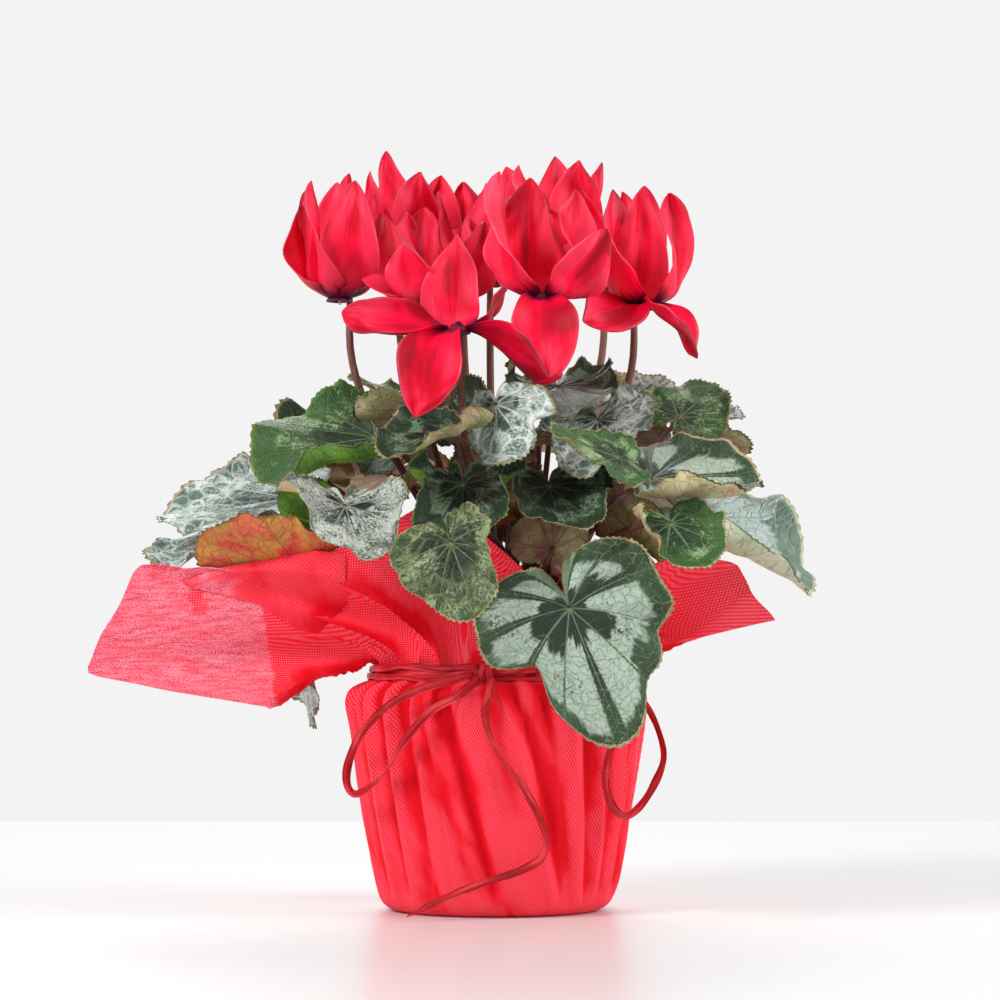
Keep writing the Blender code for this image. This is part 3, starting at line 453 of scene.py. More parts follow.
def swept_ribbon(path, facing, turns, shares, width, seed):
    """A flat ribbon along a path, with its facing, turn and share of the width at each point."""
    half = np.array(RIBBON_SECTION)
    section = np.concatenate([half, half[-2:0:-1] - (0.0, 2 * RAFFIA_THICKNESS / width)])
    steps = zip(path, tangents_along(path), facing, turns, shares, run_along(path))
    points, cloth = [], []
    for centre, tangent, face, turn, share, reached in steps:
        across = unit(np.cross(tangent, face))
        out = np.cross(across, tangent)
        across, out = (math.cos(turn) * across + math.sin(turn) * out,
                       math.cos(turn) * out - math.sin(turn) * across)
        points.append(centre + width / 2 * share * (section[:, :1] * across + section[:, 1:] * out))
        cloth.append(np.stack([section[:, 0] * width / 2, np.full(len(section), reached),
                               np.full(len(section), CLOTH_SHIFT * seed)], axis=1))
    return (np.concatenate(points), tube_faces(len(path), len(section))), {"cloth": np.concatenate(cloth)}


def crumpled_ribbon(path, twist, seed, tips):
    """A ribbon along a free path, turned by the twist in degrees along it, with narrowed tips."""
    rng = np.random.default_rng(seed)
    reached = run_along(path)
    along = reached / reached[-1]
    wander = sum(rng.uniform(0.3, 1.0) * np.sin(along * rng.uniform(8, 30) + rng.uniform(0, 6))
                 for _ in range(4))
    turns = np.radians(np.interp(along, np.linspace(0, 1, len(twist)), twist)) + RAFFIA_WANDER * wander
    pinch = 1 - 0.10 * (1 + np.sin(along * 23 + seed)) / 2 - 0.06 * np.sin(along * 61 + 2 * seed)
    pinch = pinch * np.interp(along, (0.0, 0.04, 0.93, 1.0), (tips[0], 1.0, 1.0, tips[1]))
    return swept_ribbon(path, [RAFFIA_FACING] * len(path), turns, pinch, RAFFIA_WIDTH, seed)


def wound_ribbon(path, width, seed, centre=None):
    """A ribbon wound round the Z axis or round a centre, face out, with crumpled edges."""
    phase = np.random.default_rng(seed).uniform(0, 6, 3)
    reached = run_along(path)
    facing = path * (1, 1, 0) if centre is None else path - np.array(centre)
    turns = 0.22 * np.sin(0.11 * reached + phase[0]) + 0.12 * np.sin(0.37 * reached + phase[1])
    shares = 1 - 0.18 * (1 + np.sin(0.23 * reached + phase[2])) / 2
    return swept_ribbon(path, facing, turns, shares, width, seed)


def add_cord(name, route, twist, seed, tips=(1.0, 1.0)):
    path = smooth_route(route, RAFFIA_STEP)
    shape, values = crumpled_ribbon(path, twist, seed, tips)
    piece = add_piece(name + "_ribbon", shape, RAFFIA, values)
    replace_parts(piece, name)


add_cord("raffia_loop_left", LOOP_LEFT, (10, 25, 5, -20, 15, 60, 20, 0, -15), 1)
add_cord("raffia_loop_right", LOOP_RIGHT, (0, 30, 10, -25, 20, 0, 45, 60, 20), 2)
add_cord("raffia_tail", TAIL, (0, 20, 50, 10, -30, 10, 35, -10, 0), 3, (1.0, 0.12))

# The tie round the neck: raffia strands wound round it, and the knot

# (radius, height, tilt, direction of the tilt, width) of each turn
TURNS = ((59.3, 114.6, 2.2, 300, 4.2), (60.2, 113.2, -2.0, 275, 3.8),
         (60.8, 114.4, 1.4, 240, 3.6), (61.4, 112.6, 2.4, 330, 3.2))
TURN_SEED = 11
TURN_AZIMUTHS = (-72, 296)
# (centre, half depth before flattening, half height, lean in degrees) of each of the knot's loops
KNOT_LOOPS = (((-6.0, -64.6, 114.6), 4.2, 4.0, 12), ((-3.4, -65.2, 114.0), 3.6, 3.4, -14),
              ((-8.6, -64.4, 114.2), 3.8, 3.2, 30))
KNOT_FLATTENED = 0.8
KNOT_WIDTH = 4.0
KNOT_SEED = 30


def turn_path(index, radius, height, tilt, towards):
    """A slightly wavering ring round the neck, with its ends hidden behind the knot."""
    azimuths = np.linspace(*TURN_AZIMUTHS, 150)
    angles = np.radians(azimuths)
    reach = radius + 0.5 * np.sin(5 * angles + math.radians(70 * index))
    rise = (height + tilt * np.cos(angles - math.radians(towards))
            + 0.9 * np.sin(4.3 * angles + math.radians(110 * index))
            + 0.4 * np.sin(11 * angles + math.radians(50 * index)))
    return np.stack([reach * np.cos(angles), reach * np.sin(angles), rise], axis=1)


def knot_path(centre, deep, high, lean):
    angles = np.radians(np.linspace(0, 350, 40))
    tip = math.radians(lean)
    return np.stack([centre[0] + math.sin(tip) * high * np.sin(angles),
                     centre[1] + deep * KNOT_FLATTENED * np.cos(angles),
                     centre[2] + math.cos(tip) * high * np.sin(angles)], axis=1)


def build_tie():
    made = {f"raffia_band_turn_{index + 1}": wound_ribbon(turn_path(index, *turn), width, TURN_SEED + index)
            for index, (*turn, width) in enumerate(TURNS)}
    made["raffia_knot"] = joined([
        wound_ribbon(knot_path(centre, *loop), KNOT_WIDTH, KNOT_SEED + index, centre)
        for index, (centre, *loop) in enumerate(KNOT_LOOPS)])
    for name, (shape, values) in made.items():
        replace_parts(add_piece(name, shape, RAFFIA, values), "raffia_band")


build_tie()

# Wrap

WRAP_BASE_RADIUS = 50.0
WRAP_BODY = (
    (3.0, 54.0), (13.0, 58.0), (40.0, 63.2),
    (92.0, 70.0), (103.0, 69.5), (108.0, 65.0), (111.0, 57.2), (117.0, 57.2),
)  # (height, radius)
COLLAR_FLARE = 6.0
COLLAR_RISE = 0.55
COLLAR_LEAST_RISE = 12.0
COLLAR_PLEATS = 14
COLLAR_PLEAT_DEPTH = 3.0
# The collar's edge: (azimuth at the neck in degrees, x, y, z)
COLLAR_EDGE = (
    (0, 86, 6, 126), (20, 86, 30, 142), (45, 76, 70, 165), (70, 42, 104, 174),
    (90, 0, 128, 170), (110, -40, 104, 174), (135, -70, 70, 160), (155, -86, 32, 130),
    (175, -92, 2, 116), (190, -108, -28, 97), (203, -196, -22, 114), (214, -172, -28, 162),
    (226, -124, -40, 161), (238, -80, -54, 169), (250, -54, -70, 176), (260, -31, -82, 191),
    (270, -8, -84, 176), (282, 18, -84, 156), (296, 46, -78, 150), (310, 72, -68, 160),
    (322, 92, -60, 165), (334, 113, -50, 164), (344, 131, -38, 137), (353, 104, -14, 129),
)
WRAP_THICKNESS = 0.4
DOT_PITCH = 1.6  # between the embossed dots
LIGHT_THROUGH = 0.08  # of the colour, a painted glow of the cloth's own colour that stands in for light coming through the thin cloth
CLOTH_SKEW = 0.5  # of the dots' rows across the pot
BODY_REACH = 66.0  # the radius at which the cloth is unrolled round the pot
FLAP_LINE = (103.0, 107.0)  # to the left, where the cloth turns fibrous
FLAP_PATCH = (-141.0, 147.0)  # (x, z) of a place where it shows its dots again
BACK_EVEN = 2.2  # how much less of the painted fold shade the back of the body gets, so that its colour is evener and pinker there
FOLD_SWELL = 3.2
FOLD_LIFT = 0.5
# The part of the left flap that is turned over, as (x, z) along its upper and lower edges
FOLD_UPPER = ((-149, 157), (-132, 162.5), (-114, 165.5), (-98, 168.5), (-84, 170.5), (-70, 169))
FOLD_LOWER = ((-147, 154.5), (-129, 150.5), (-111, 145.5), (-95, 134), (-84, 132), (-70, 146))
FOLD_COLUMNS = 60
FOLD_ROWS = 24
AHEAD = -200.0  # a depth in front of the whole plant
WRAP_COLUMNS = 600
# (height, radius) that the body's inside keeps to
POT_CLEARANCE = ((6.0, 50.0), (88.0, 61.5), (94.0, 65.4), (106.0, 65.4), (108.0, 54.0), (120.0, 54.0))
BODY_ROWS = 64
NECK_HEIGHT = 111.0
FOLD_STRENGTH = 2.3
SHOULDER_HEIGHT = 0.35  # of the swelling beside a fold, as a part of the fold's depth
PLEAT_DEPTH = 1.2
FINE_PLEAT_DEPTH = 0.25
GATHER_DEPTH = 3.0  # of the gathers under the tie
GATHER_REACH = 20.0
FINE_CREASE = 3.0
MEDIUM_CREASE = 6.6
WIDE_CREASE = 4.4
# How much painted shade the collar's creases get, as a part of their depth
COLLAR_FOLD_SHADE = 0.7
COLLAR_ROWS = 44
# Folds of the wrapped pot: (azimuth at the neck, azimuth at the base, half width in degrees, depth in mm)
FOLDS = (
    (246, 272, 3.2, 2.6), (233, 262, 3.0, 1.2), (258, 283, 3.6, -1.4), (269, 299, 3.4, -2.0),
    (276, 305, 3.0, 1.6), (287, 309, 3.0, 1.2), (297, 314, 3.2, -1.0), (306, 318, 2.4, 1.5),
    (316, 322, 2.6, -1.3), (203, 209, 2.0, 1.6), (209, 216, 2.0, -1.2), (215, 224, 2.2, 1.7),
    (222, 233, 2.4, -1.1), (228, 243, 2.0, 1.2),
    (240, 254, 2.2, -0.9), (324, 330, 2.0, 1.6), (331, 336, 2.4, -1.2), (340, 343, 2.4, 1.5),
)
BACK_FOLDS = tuple(
    (azimuth + 4 * math.sin(azimuth), azimuth + 13 * math.sin(2.1 * azimuth), 2.8, 1.7 * (-1) ** index)
    for index, azimuth in enumerate(range(-12, 196, 16)))


def collar_edge(azimuths):
    """The collar's edge at each azimuth, straight between its named points."""
    table = np.array(COLLAR_EDGE, float)
    table = np.concatenate([table, table[:1] + (360, 0, 0, 0)])
    return np.stack([np.interp(azimuths % 360, table[:, 0], table[:, axis]) for axis in (1, 2, 3)], axis=1)


def crease(turn):
    """A wave with sharp crests and round troughs, from -1 to 1."""
    return 1 - 2 * np.abs(np.sin(turn / 2)) ** 0.8


def uneven_turn(turn):
    """The turn round the pot, pushed about so that the pleats differ."""
    return turn + math.radians(5) * np.sin(3 * turn + 1) + math.radians(3) * np.sin(7 * turn + 2.2)


def body_relief(height, azimuths, uneven):
    """How far the cloth stands out of the body's profile at this height: folds, pleats and gathers."""
    up = height / NECK_HEIGHT
    depth = np.zeros_like(uneven)
    for top, bottom, half, deep in FOLDS + BACK_FOLDS:
        centre = bottom + (top - bottom) * up
        away = (azimuths - centre + 180) % 360 - 180
        valley = np.exp(-np.abs(away / half) ** 1.15)
        shoulder = SHOULDER_HEIGHT * np.exp(-((away - 2.4 * half) / (1.3 * half)) ** 2)
        depth -= FOLD_STRENGTH * deep * (valley - shoulder) * (0.45 + 0.55 * up)
    depth += PLEAT_DEPTH * crease(19 * uneven + 1.5 * up) * (0.25 + 0.75 * up)
    depth += FINE_PLEAT_DEPTH * crease(41 * uneven + 5.0 * up)
    gather = math.exp(-((NECK_HEIGHT - height) / GATHER_REACH) ** 2)
    gather = GATHER_DEPTH * gather * crease(27 * uneven + 1.2 * up)
    narrow = smoothstep(height, 105.0, 110.0)
    return depth * smoothstep(height, 2.0, 16.0) * (1 - 0.7 * narrow) + gather * (1 - 0.45 * narrow)


def wrap_body(azimuths, uneven, outward):
    """Rows of points from the middle of the base up to the tie, and their relief."""
    profile = smooth_route([(WRAP_BASE_RADIUS * part, 0.0) for part in (0.02, 0.35, 0.7, 0.92)]
                           + [(radius, height) for height, radius in WRAP_BODY[:-1]], 1.0)
    stops = np.linspace(0, len(profile) - 1, BODY_ROWS)
    rows, relief = [], []
    for radius, height in zip(*(np.interp(stops, np.arange(len(profile)), column) for column in profile.T)):
        depth = body_relief(height, azimuths, uneven)
        inner = np.interp(height, *zip(*POT_CLEARANCE)) if height > POT_CLEARANCE[0][0] else 0.0
        rows.append(np.maximum(radius + depth, inner)[:, None] * outward + (0, 0, max(height, 0.0)))
        relief.append(depth)
    return np.array(rows), np.array(relief)


def wrap_collar(azimuths, turn, uneven, outward):
    """Rows of points from the tie to the collar's edge, moved along their normals, and how far."""
    neck = WRAP_BODY[-1][1] * outward + np.array((0, 0, WRAP_BODY[-1][0]))
    edge = collar_edge(azimuths)
    edge = edge + (0.5 * np.sin(37 * turn) + 0.4 * np.sin(61 * turn + 1))[:, None] * outward
    control = neck + COLLAR_FLARE * outward
    control[:, 2] += np.maximum(COLLAR_LEAST_RISE, COLLAR_RISE * (edge[:, 2] - neck[:, 2]))
    parts = np.concatenate([[0.0], np.linspace(0.02, 1.0, COLLAR_ROWS)])
    collar, relief = [], []
    for part in parts:
        row = (1 - part) ** 2 * neck + 2 * part * (1 - part) * control + part ** 2 * edge
        broad = 4 * part * (1 - part) * COLLAR_PLEAT_DEPTH * np.sin(COLLAR_PLEATS * turn)
        collar.append(row + broad[:, None] * outward)
        fine = FINE_CREASE * math.exp(-((part - 0.06) / 0.22) ** 2)
        medium = MEDIUM_CREASE * part * math.exp(-((part - 0.30) / 0.3) ** 2) / 0.30
        relief.append(fine * crease(23 * uneven + 2.6 * part) + medium * crease(13 * uneven + 3.4 * part)
                      + WIDE_CREASE * part * crease(7 * uneven + 3.0 * part))
    collar, relief = np.array(collar), np.array(relief)
    normals = np.cross(np.roll(collar, -1, axis=1) - np.roll(collar, 1, axis=1), np.gradient(collar, axis=0))
    normals /= np.maximum(np.linalg.norm(normals, axis=2), 1e-9)[:, :, None]
    return collar + relief[:, :, None] * normals, relief


def wrap_grid():
    """Points in rows from the base to the collar's edge, the body's row count, and each point's fold shade:
    how deep its fold or crease is, which sets the shade painted there.
    """
    azimuths = np.linspace(0, 360, WRAP_COLUMNS, endpoint=False)
    turn = np.radians(azimuths)
    outward = np.stack([np.cos(turn), np.sin(turn), np.zeros_like(turn)], axis=1)
    uneven = uneven_turn(turn)
    body, depth = wrap_body(azimuths, uneven, outward)
    collar, creases = wrap_collar(azimuths, turn, uneven, outward)
    hollow = np.concatenate([-depth.ravel(), COLLAR_FOLD_SHADE * creases.ravel()])
    return np.concatenate([body, collar]), len(body), hollow


def wrap_material():
    """Bonded fabric with an embossed grid of dots, and paler and fibrous where the light comes through; with
    shade painted into its folds and creases, light painted on the right of the collar, and a painted glow of
    its own colour.
    """
    shader = Shader("bonded fabric", Specular_IOR_Level=0.10, Sheen_Weight=0.05, Sheen_Roughness=0.4,
                    Sheen_Tint=(255, 110, 125), Emission_Strength=LIGHT_THROUGH)
    across, up = (shader.axis(shader.vector("cloth"), index) for index in (0, 1))
    diagonal = 2 * math.pi / DOT_PITCH / math.sqrt(2)
    rows, columns = (shader.math("SINE", way * diagonal) for way in (across + up, across - up))
    dots = (rows * columns).smooth(0.0, 0.62)
    broad = shader.noise(shader.vector("cloth", (0.06, 0.02, 0.045)), 1.0, 3.0)
    fibres = shader.noise(shader.vector("cloth", (1.15, 1.5, 1.0)), 1.0, 5.0, 0.85)
    streaks = shader.noise(shader.vector("cloth", (0.10, 0.55, 1.0)), 1.0, 3.0, 0.7)
    uneven = shader.noise(shader.vector("cloth", (0.06, 0.11, 1.0)), 1.0, 3.0)
    fuzz, hollow = shader.value("fuzz"), shader.value("hollow")
    fuzzy = (fuzz + (uneven - 0.5) * 0.9).smooth(0.3, 0.7) * fuzz.smooth(0.0, 0.25)
    # Pinker, with pale dots, where a broad random tone is high, and less so where shade is painted into the
    # folds
    bloom_less_in_shade = (broad + hollow * -0.09).smooth(0.26, 0.56, 0.06, 1.0)
    lit = shader.mix(dots * 0.75, (250, 44, 66), (255, 156, 168))
    colour = shader.layered(
        shader.mix(bloom_less_in_shade, (236, 0, 26), (255, 28, 58)),
        (dots * (bloom_less_in_shade * 0.72), (255, 136, 148)),
        (shader.value("lit"), lit))
    pale = shader.mix((fibres * 0.72 + streaks * 0.28).smooth(0.39, 0.61), (208, 16, 50), (248, 152, 170))
    pale = shader.mix(uneven.smooth(0.35, 0.65, 0.3, 0.0), pale, colour)
    # Painted shade: darker red in the deepest folds and creases, under the fibrous pale cloth laid over last
    colour = shader.layered(colour, (hollow.smooth(1.2, 4.5, 0.0, 0.45), (190, 0, 18)), (fuzzy, pale))
    shader.colour(colour)
    # Painted glow: the cloth gives off its own colour as light, for the light that comes through it
    shader.feed(shader.surface.inputs["Emission Color"], colour)
    shader.roughness(broad.smooth(0.3, 0.7, 0.48, 0.62))
    shader.bump((dots * -0.7 + fibres * 0.3) * fuzzy.smooth(0.0, 1.0, 1.0, 0.25), 0.0005)
    return shader.material


def read_line(line, count):
    """That many points, evenly spread over the named ones."""
    table = np.array(line, float)
    stops = np.linspace(0, 1, len(line))
    return np.stack([np.interp(np.linspace(0, 1, count), stops, table[:, axis]) for axis in (0, 1)], axis=1)


def fold_over(points, faces):
    """The collar's edge turned over at the front of the left flap: a patch that lies close on the flap."""
    ground = BVHTree.FromPolygons(points.tolist(), faces.tolist())
    upper, lower = read_line(FOLD_UPPER, FOLD_COLUMNS), read_line(FOLD_LOWER, FOLD_COLUMNS)
    spots = []
    for part in np.linspace(0, 1, FOLD_ROWS):
        for place, (x, z) in zip(np.linspace(0, 1, FOLD_COLUMNS), (1 - part) * upper + part * lower):
            hit = ground.ray_cast(Vector((x, AHEAD, z)), Vector((0.0, 1.0, 0.0)))[0]
            swell = FOLD_SWELL * math.sin(math.pi * min(1.0, part * 1.15)) * math.sin(math.pi * place) ** 0.5
            spots.append((x, (hit.y if hit else np.nan) - FOLD_LIFT - swell, z))
    spots = np.array(spots)
    x, y, z = spots.T
    known = np.flatnonzero(~np.isnan(y))
    depth = np.interp(np.arange(len(spots)), known, y[known]).reshape(FOLD_ROWS, FOLD_COLUMNS)
    for _ in range(3):
        padded = np.pad(depth, 1, mode="edge")
        depth = (padded[:-2, 1:-1] + padded[2:, 1:-1] + padded[1:-1, :-2] + padded[1:-1, 2:] + 2 * depth) / 6
    spots[:, 1] = depth.ravel() - 0.4
    return thicken(spots, [grid_faces(FOLD_ROWS, FOLD_COLUMNS)[:, ::-1]], WRAP_THICKNESS, {
        "cloth": np.stack([0.9 * x + 0.5 * z, z - 0.4 * x, np.full(len(x), 90.0)], axis=1),
        "fuzz": 0.52 * smoothstep(-x, 96.0, 138.0),
        # Painted shade: deep red on the lower right end of the turned-over patch
        "hollow": 4.0 * smoothstep(x, -92.0, -78.0) * smoothstep(-z, -152.0, -140.0),
        "lit": np.zeros(len(x))})


def cloth_places(grid, body_rows):
    """Where each point lies in the cloth's pattern: unrolled round the pot, and flat on the collar."""
    row = np.repeat(np.arange(len(grid)), WRAP_COLUMNS)
    azimuth = np.tile(np.linspace(0, 360, WRAP_COLUMNS, endpoint=False), len(grid))
    around, up = np.radians((azimuth - 90) % 360) * BODY_REACH, run_along(grid[:, 0])[row]
    x, y, z = grid.reshape(-1, 3).T
    on_body = row < body_rows
    return on_body, np.stack([np.where(on_body, around + CLOTH_SKEW * up, x + 0.6 * y),
                              np.where(on_body, up - CLOTH_SKEW * around, z + 0.4 * y),
                              np.where(on_body, 0.0, 40.0)], axis=1)


def build_wrap():
    grid, body_rows, hollow = wrap_grid()
    points = grid.reshape(-1, 3)
    x, y, z = points.T
    faces = [grid_faces(len(grid), WRAP_COLUMNS, closed=True), np.arange(WRAP_COLUMNS)[::-1][None, :]]
    on_body, cloth = cloth_places(grid, body_rows)
    patch_x, patch_z = FLAP_PATCH
    away = np.abs(x + 0.3 * (z - patch_z) - patch_x), np.abs(z - patch_z)
    fuzz = smoothstep(-x - 0.15 * (z - 105.0), *FLAP_LINE) * (1 - on_body)
    fuzz = fuzz * (1 - 0.6 * smoothstep(-away[0], -6.0, -4.6) * smoothstep(-away[1], -7.5, -6.0))
    shape, values = thicken(points, faces, WRAP_THICKNESS, {
        "cloth": cloth, "fuzz": fuzz, "hollow": hollow - BACK_EVEN * smoothstep(y, -10.0, 35.0) * on_body,
        "lit": smoothstep(x, 84.0, 118.0) * (1 - on_body)}, middle=False)
    shape, values = joined([(shape, values), fold_over(points, faces[0])])
    piece = add_piece("gift_wrap", shape, wrap_material(), values)
    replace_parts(piece, "wrap")


build_wrap()

# Leaves

LEAF_WAVES = 6
NOTCH_DEPTH = 0.72
NOTCH_HALF = 10.0
FOLD_SOFTNESS = 0.03
TIP_CURL_START = 0.45
CURL_START = 0.22
CURL_END = 0.62
COARSE_RIM = 22
COARSE_RING = 11
COARSE_RING_AT = 0.55
COARSE_TEETH = 0.03
LEAF_SIZES = (1.0, 0.9, 0.8, 0.7)
BLOOM_SIZES = (1.0, 0.93, 0.86)
SEARCH_STEP = 3
LEAF_THICKNESS = 0.45
LEAF_COLUMNS = 96
LEAF_RINGS = 22
TOOTH_DEPTH = 0.7
# Places where a leaf's rim is cut back, as (angle from the tip, half width in degrees, share of the reach)
LEAF_BITES = {
    "front_big": ((-48, 20, 0.30), (-20, 11, 0.12), (22, 12, 0.18), (52, 10, 0.12), (-100, 16, -0.06)),
    "front_marbled": ((60, 12, 0.08), (-70, 14, 0.06)),
    "left_metal": ((-40, 14, 0.14), (45, 14, 0.12)),
    "right_round": ((-60, 12, 0.08),),
    "front_silver": ((50, 16, 0.16),),
}
# Angles from the tip of the veins that leave the stalk point, and the outermost ones by the notch
VEIN_ANGLES = (-180, -146, -100, -58, -27, 0, 27, 60, 104, 148, 180)

Leaf = namedtuple("Leaf", "name attach tip face width fold ruffle phase tip_curl left_curl right_curl")
LEAVES = (
    Leaf("front_big", (33, -108, 143), (58, -105, 81), (-.1, -1, .25), 1.1, .12, .05, 0, 0, 0, 15),
    Leaf("front_marbled", (-20, -112, 172), (-8, -118, 139), (-.35, -1, .2), 1.3, .3, .06, 1, 0, 40, 0),
    Leaf("left_metal", (-69, -80, 190), (-61, -112, 165), (.25, -.5, .85), 1.3, .25, .06, 2, 0, 30, 0),
    Leaf("left_big", (-57, -30, 224), (-118, -35, 214), (0, -.6, .8), 1.05, 0, .05, 3, 0, 110, 0),
    Leaf("right_marbled", (72, -75, 203), (122, -45, 206), (-.1, -.65, .75), 1.15, 0, .04, 4, 0, 0, 110),
    Leaf("right_silver", (94, -55, 186), (153, -35, 161), (-.15, -.6, .8), 1.1, 0, .05, 5, 0, 0, 130),
    Leaf("left_silver", (-98, -15, 197), (-162, -25, 185), (-.15, -.5, .85), 1.0, .1, .05, 0, 0, 0, 0),
    Leaf("front_dark_cup", (-12, -74, 194), (-12, -107, 166), (0, -.5, .85), 1.2, .1, .09, 1, 0, 60, 80),
    Leaf("front_purple", (38, -95, 162), (48, -82, 192), (0, 1, .25), 1.1, .25, .06, 2, 30, 0, 0),
    Leaf("front_pink_rim", (22, -62, 197), (27, -98, 171), (.1, -.35, .95), 1.2, .15, .06, 3, 0, 40, 110),
    Leaf("front_silver", (0, -85, 236), (2, -95, 208), (-.5, -.8, .3), 1.3, -.6, .03, 4, 0, 0, 0),
    Leaf("front_toothed_cup", (-16, -55, 224), (-42, -84, 210), (0, -.2, 1), 1.2, .1, .08, 5, 0, 110, 30),
    Leaf("right_round", (79, -80, 184), (93, -103, 163), (.1, -.7, .7), 1.2, 0, .05, 0, 0, 0, 120),
    Leaf("right_underside", (76, -72, 173), (52, -70, 203), (.5, .7, .5), .9, 0, .06, 1, 0, 0, 0),
    Leaf("left_red_lit", (-92, -45, 166), (-141, -56, 182), (.2, .6, .75), 1.1, .1, .05, 2, 0, 0, 0),
    Leaf("left_low_silver", (-122, -5, 184), (-165, -10, 164), (-.2, -.45, .85), .9, .1, .05, 3, 0, 0, 0),
    Leaf("left_bright", (-84, -52, 174), (-104, -64, 200), (-.1, .8, .5), 1.0, 0, .06, 4, 0, 0, 0),
    Leaf("left_toothed", (-66, -55, 176), (-98, -74, 168), (0, -.3, 1), 1.1, 0, .05, 5, 0, 0, 0),
    Leaf("left_curled", (-47, -55, 205), (-70, -76, 188), (-.3, -.1, .95), 1.1, 0, .06, 0, 0, 110, 0),
    Leaf("left_hanging", (-84, 38, 118), (-78, 36, 80), (-.9, -.35, .2), .9, .1, .05, 1, 0, 0, 0),
    Leaf("left_back", (-48, 14, 228), (-104, 18, 236), (-.1, -.5, .85), 1.0, 0, .06, 2, 0, 0, 0),
    Leaf("left_small_top", (-47, 25, 250), (-69, 22, 258), (0, -.35, 1), 1.0, 0, .06, 3, 0, 0, 0),
    Leaf("left_yellow", (-82, 8, 208), (-120, 2, 209), (-.1, .2, 1), 1.0, 0, .06, 4, 0, 60, 0),
    Leaf("middle_twin_dark", (30, -20, 250), (37, -62, 231), (0, -.45, .9), 1.1, .1, .06, 5, 0, 50, 60),
    Leaf("middle_silver_edge", (54, -45, 232), (51, -80, 206), (-.25, -.6, .75), 1.1, 0, .05, 0, 0, 20, 60),
    Leaf("middle_wide_rim", (32, -55, 211), (29, -92, 198), (0, -.1, 1), 1.3, 0, .06, 1, 70, 40, 40),
    Leaf("middle_lobe", (44, -60, 211), (12, -80, 221), (0, -.7, .7), .75, 0, .05, 2, 0, 0, 0),
    Leaf("middle_olive", (12, -66, 203), (-12, -84, 207), (0, .3, .95), 1.1, 0, .08, 3, 0, 60, 0),
    Leaf("middle_dark_top", (4, -38, 228), (-30, -50, 233), (0, -.6, .8), 1.1, 0, .05, 4, 0, 0, 0),
    Leaf("middle_olive_left", (-30, -44, 230), (-64, -52, 230), (0, .5, .85), 1.0, 0, .07, 5, 0, 0, 0),
    Leaf("middle_upright", (-20, 8, 234), (-25, 22, 262), (0, -.7, .5), 1.2, 0, .05, 0, 0, 0, 0),
    Leaf("right_pink", (63, -22, 226), (69, -4, 250), (0, .9, .3), 1.3, 0, .05, 1, 0, 0, 0),
    Leaf("right_small", (88, -14, 236), (107, 6, 252), (-.1, -.85, .6), 1.2, 0, .04, 2, 0, 0, 0),
    Leaf("right_top_silver", (48, 8, 243), (86, 2, 255), (0, -.6, .8), 1.1, 0, .05, 3, 0, 0, 0),
    Leaf("right_top_olive", (58, 26, 246), (62, 44, 268), (0, -.85, .5), 1.2, 0, .06, 4, 0, 0, 0),
    Leaf("right_edge", (92, 18, 246), (117, 8, 240), (.2, -.4, .9), 1.1, 0, .06, 5, 0, 0, 0),
    Leaf("right_olive", (92, -2, 232), (121, -6, 228), (.3, .5, .8), 1.1, 0, .07, 0, 0, 0, 0),
    Leaf("back_right_low", (56, 40, 206), (108, 72, 182), (.3, .3, .9), 1.1, .05, .06, 1, 0, 0, 0),
    Leaf("back_right_high", (20, 44, 240), (48, 96, 232), (.2, .4, .9), 1.1, .05, .06, 2, 0, 0, 0),
    Leaf("back_middle", (-1, 48, 194), (-3, 60, 236), (0, -.8, .4), 1.2, .05, .06, 3, 0, 0, 0),
    Leaf("back_left_high", (-24, 42, 238), (-58, 92, 230), (-.2, .4, .9), 1.1, .05, .06, 4, 0, 0, 0),
    Leaf("back_left_low", (-58, 44, 204), (-112, 78, 182), (-.3, .3, .9), 1.1, .05, .06, 5, 0, 0, 0),
)


def notch(theta):
    """1 away from the notch by the stalk, and less in it."""
    return 1 - NOTCH_DEPTH * np.exp(-((180 - np.abs(np.degrees(theta))) / NOTCH_HALF) ** 2)


def outline(theta):
    """Distance from the stalk to the rim, as a part of the leaf's length, by angle from the tip."""
    away = np.abs(np.degrees(theta))
    tip = 0.40 * np.exp(-(away / 36) ** 2)
    lobe = 0.24 * np.clip((away - 95) / 60, 0.0, 1.0) ** 2
    return (0.60 + tip - lobe) * notch(theta)


def roll(along, height, start, span, degrees):
    """Bends the part of a surface beyond start round a cylinder, upward for a positive angle."""
    if not degrees:
        return along, height
    radius = span / math.radians(abs(degrees))
    angle = (along - start) / radius
    up = math.copysign(1.0, degrees)
    arm = radius - up * height
    beyond = along > start
    rolled_along = np.where(beyond, start + arm * np.sin(angle), along)
    return rolled_along, np.where(beyond, up * (radius - arm * np.cos(angle)), height)


def leaf_axes(leaf):
    """Unit vectors towards the tip and out of the upper side."""
    along = unit(np.subtract(leaf.tip, leaf.attach))
    face = np.array(leaf.face, float)
    return along, unit(face - along * face.dot(along))


def leaf_points(leaf, part, theta, relief=0.0):
    """Points of the leaf's middle surface: part runs from 0 at the stalk to 1 at the rim."""
    attach = np.array(leaf.attach, float)
    length = np.linalg.norm(leaf.tip - attach)
    reach = outline(theta) * part * length
    x, y = reach * np.cos(theta), reach * np.sin(theta) * leaf.width
    soft = FOLD_SOFTNESS * length
    z = leaf.fold * (np.hypot(y, soft) - soft)
    wave = notch(theta) ** 2 * np.sin(LEAF_WAVES * theta + leaf.phase)
    z = z + leaf.ruffle * length * part ** 3 * wave + relief
    x, z = roll(x, z, TIP_CURL_START * length, (1 - TIP_CURL_START) * length, leaf.tip_curl)
    start, span = CURL_START * length, (CURL_END * leaf.width - CURL_START) * length
    y, z = roll(y, z, start, span, leaf.left_curl)
    y, z = roll(-y, z, start, span, leaf.right_curl)
    along, up = leaf_axes(leaf)
    return attach + np.outer(x, along) - np.outer(y, np.cross(up, along)) + np.outer(z, up)


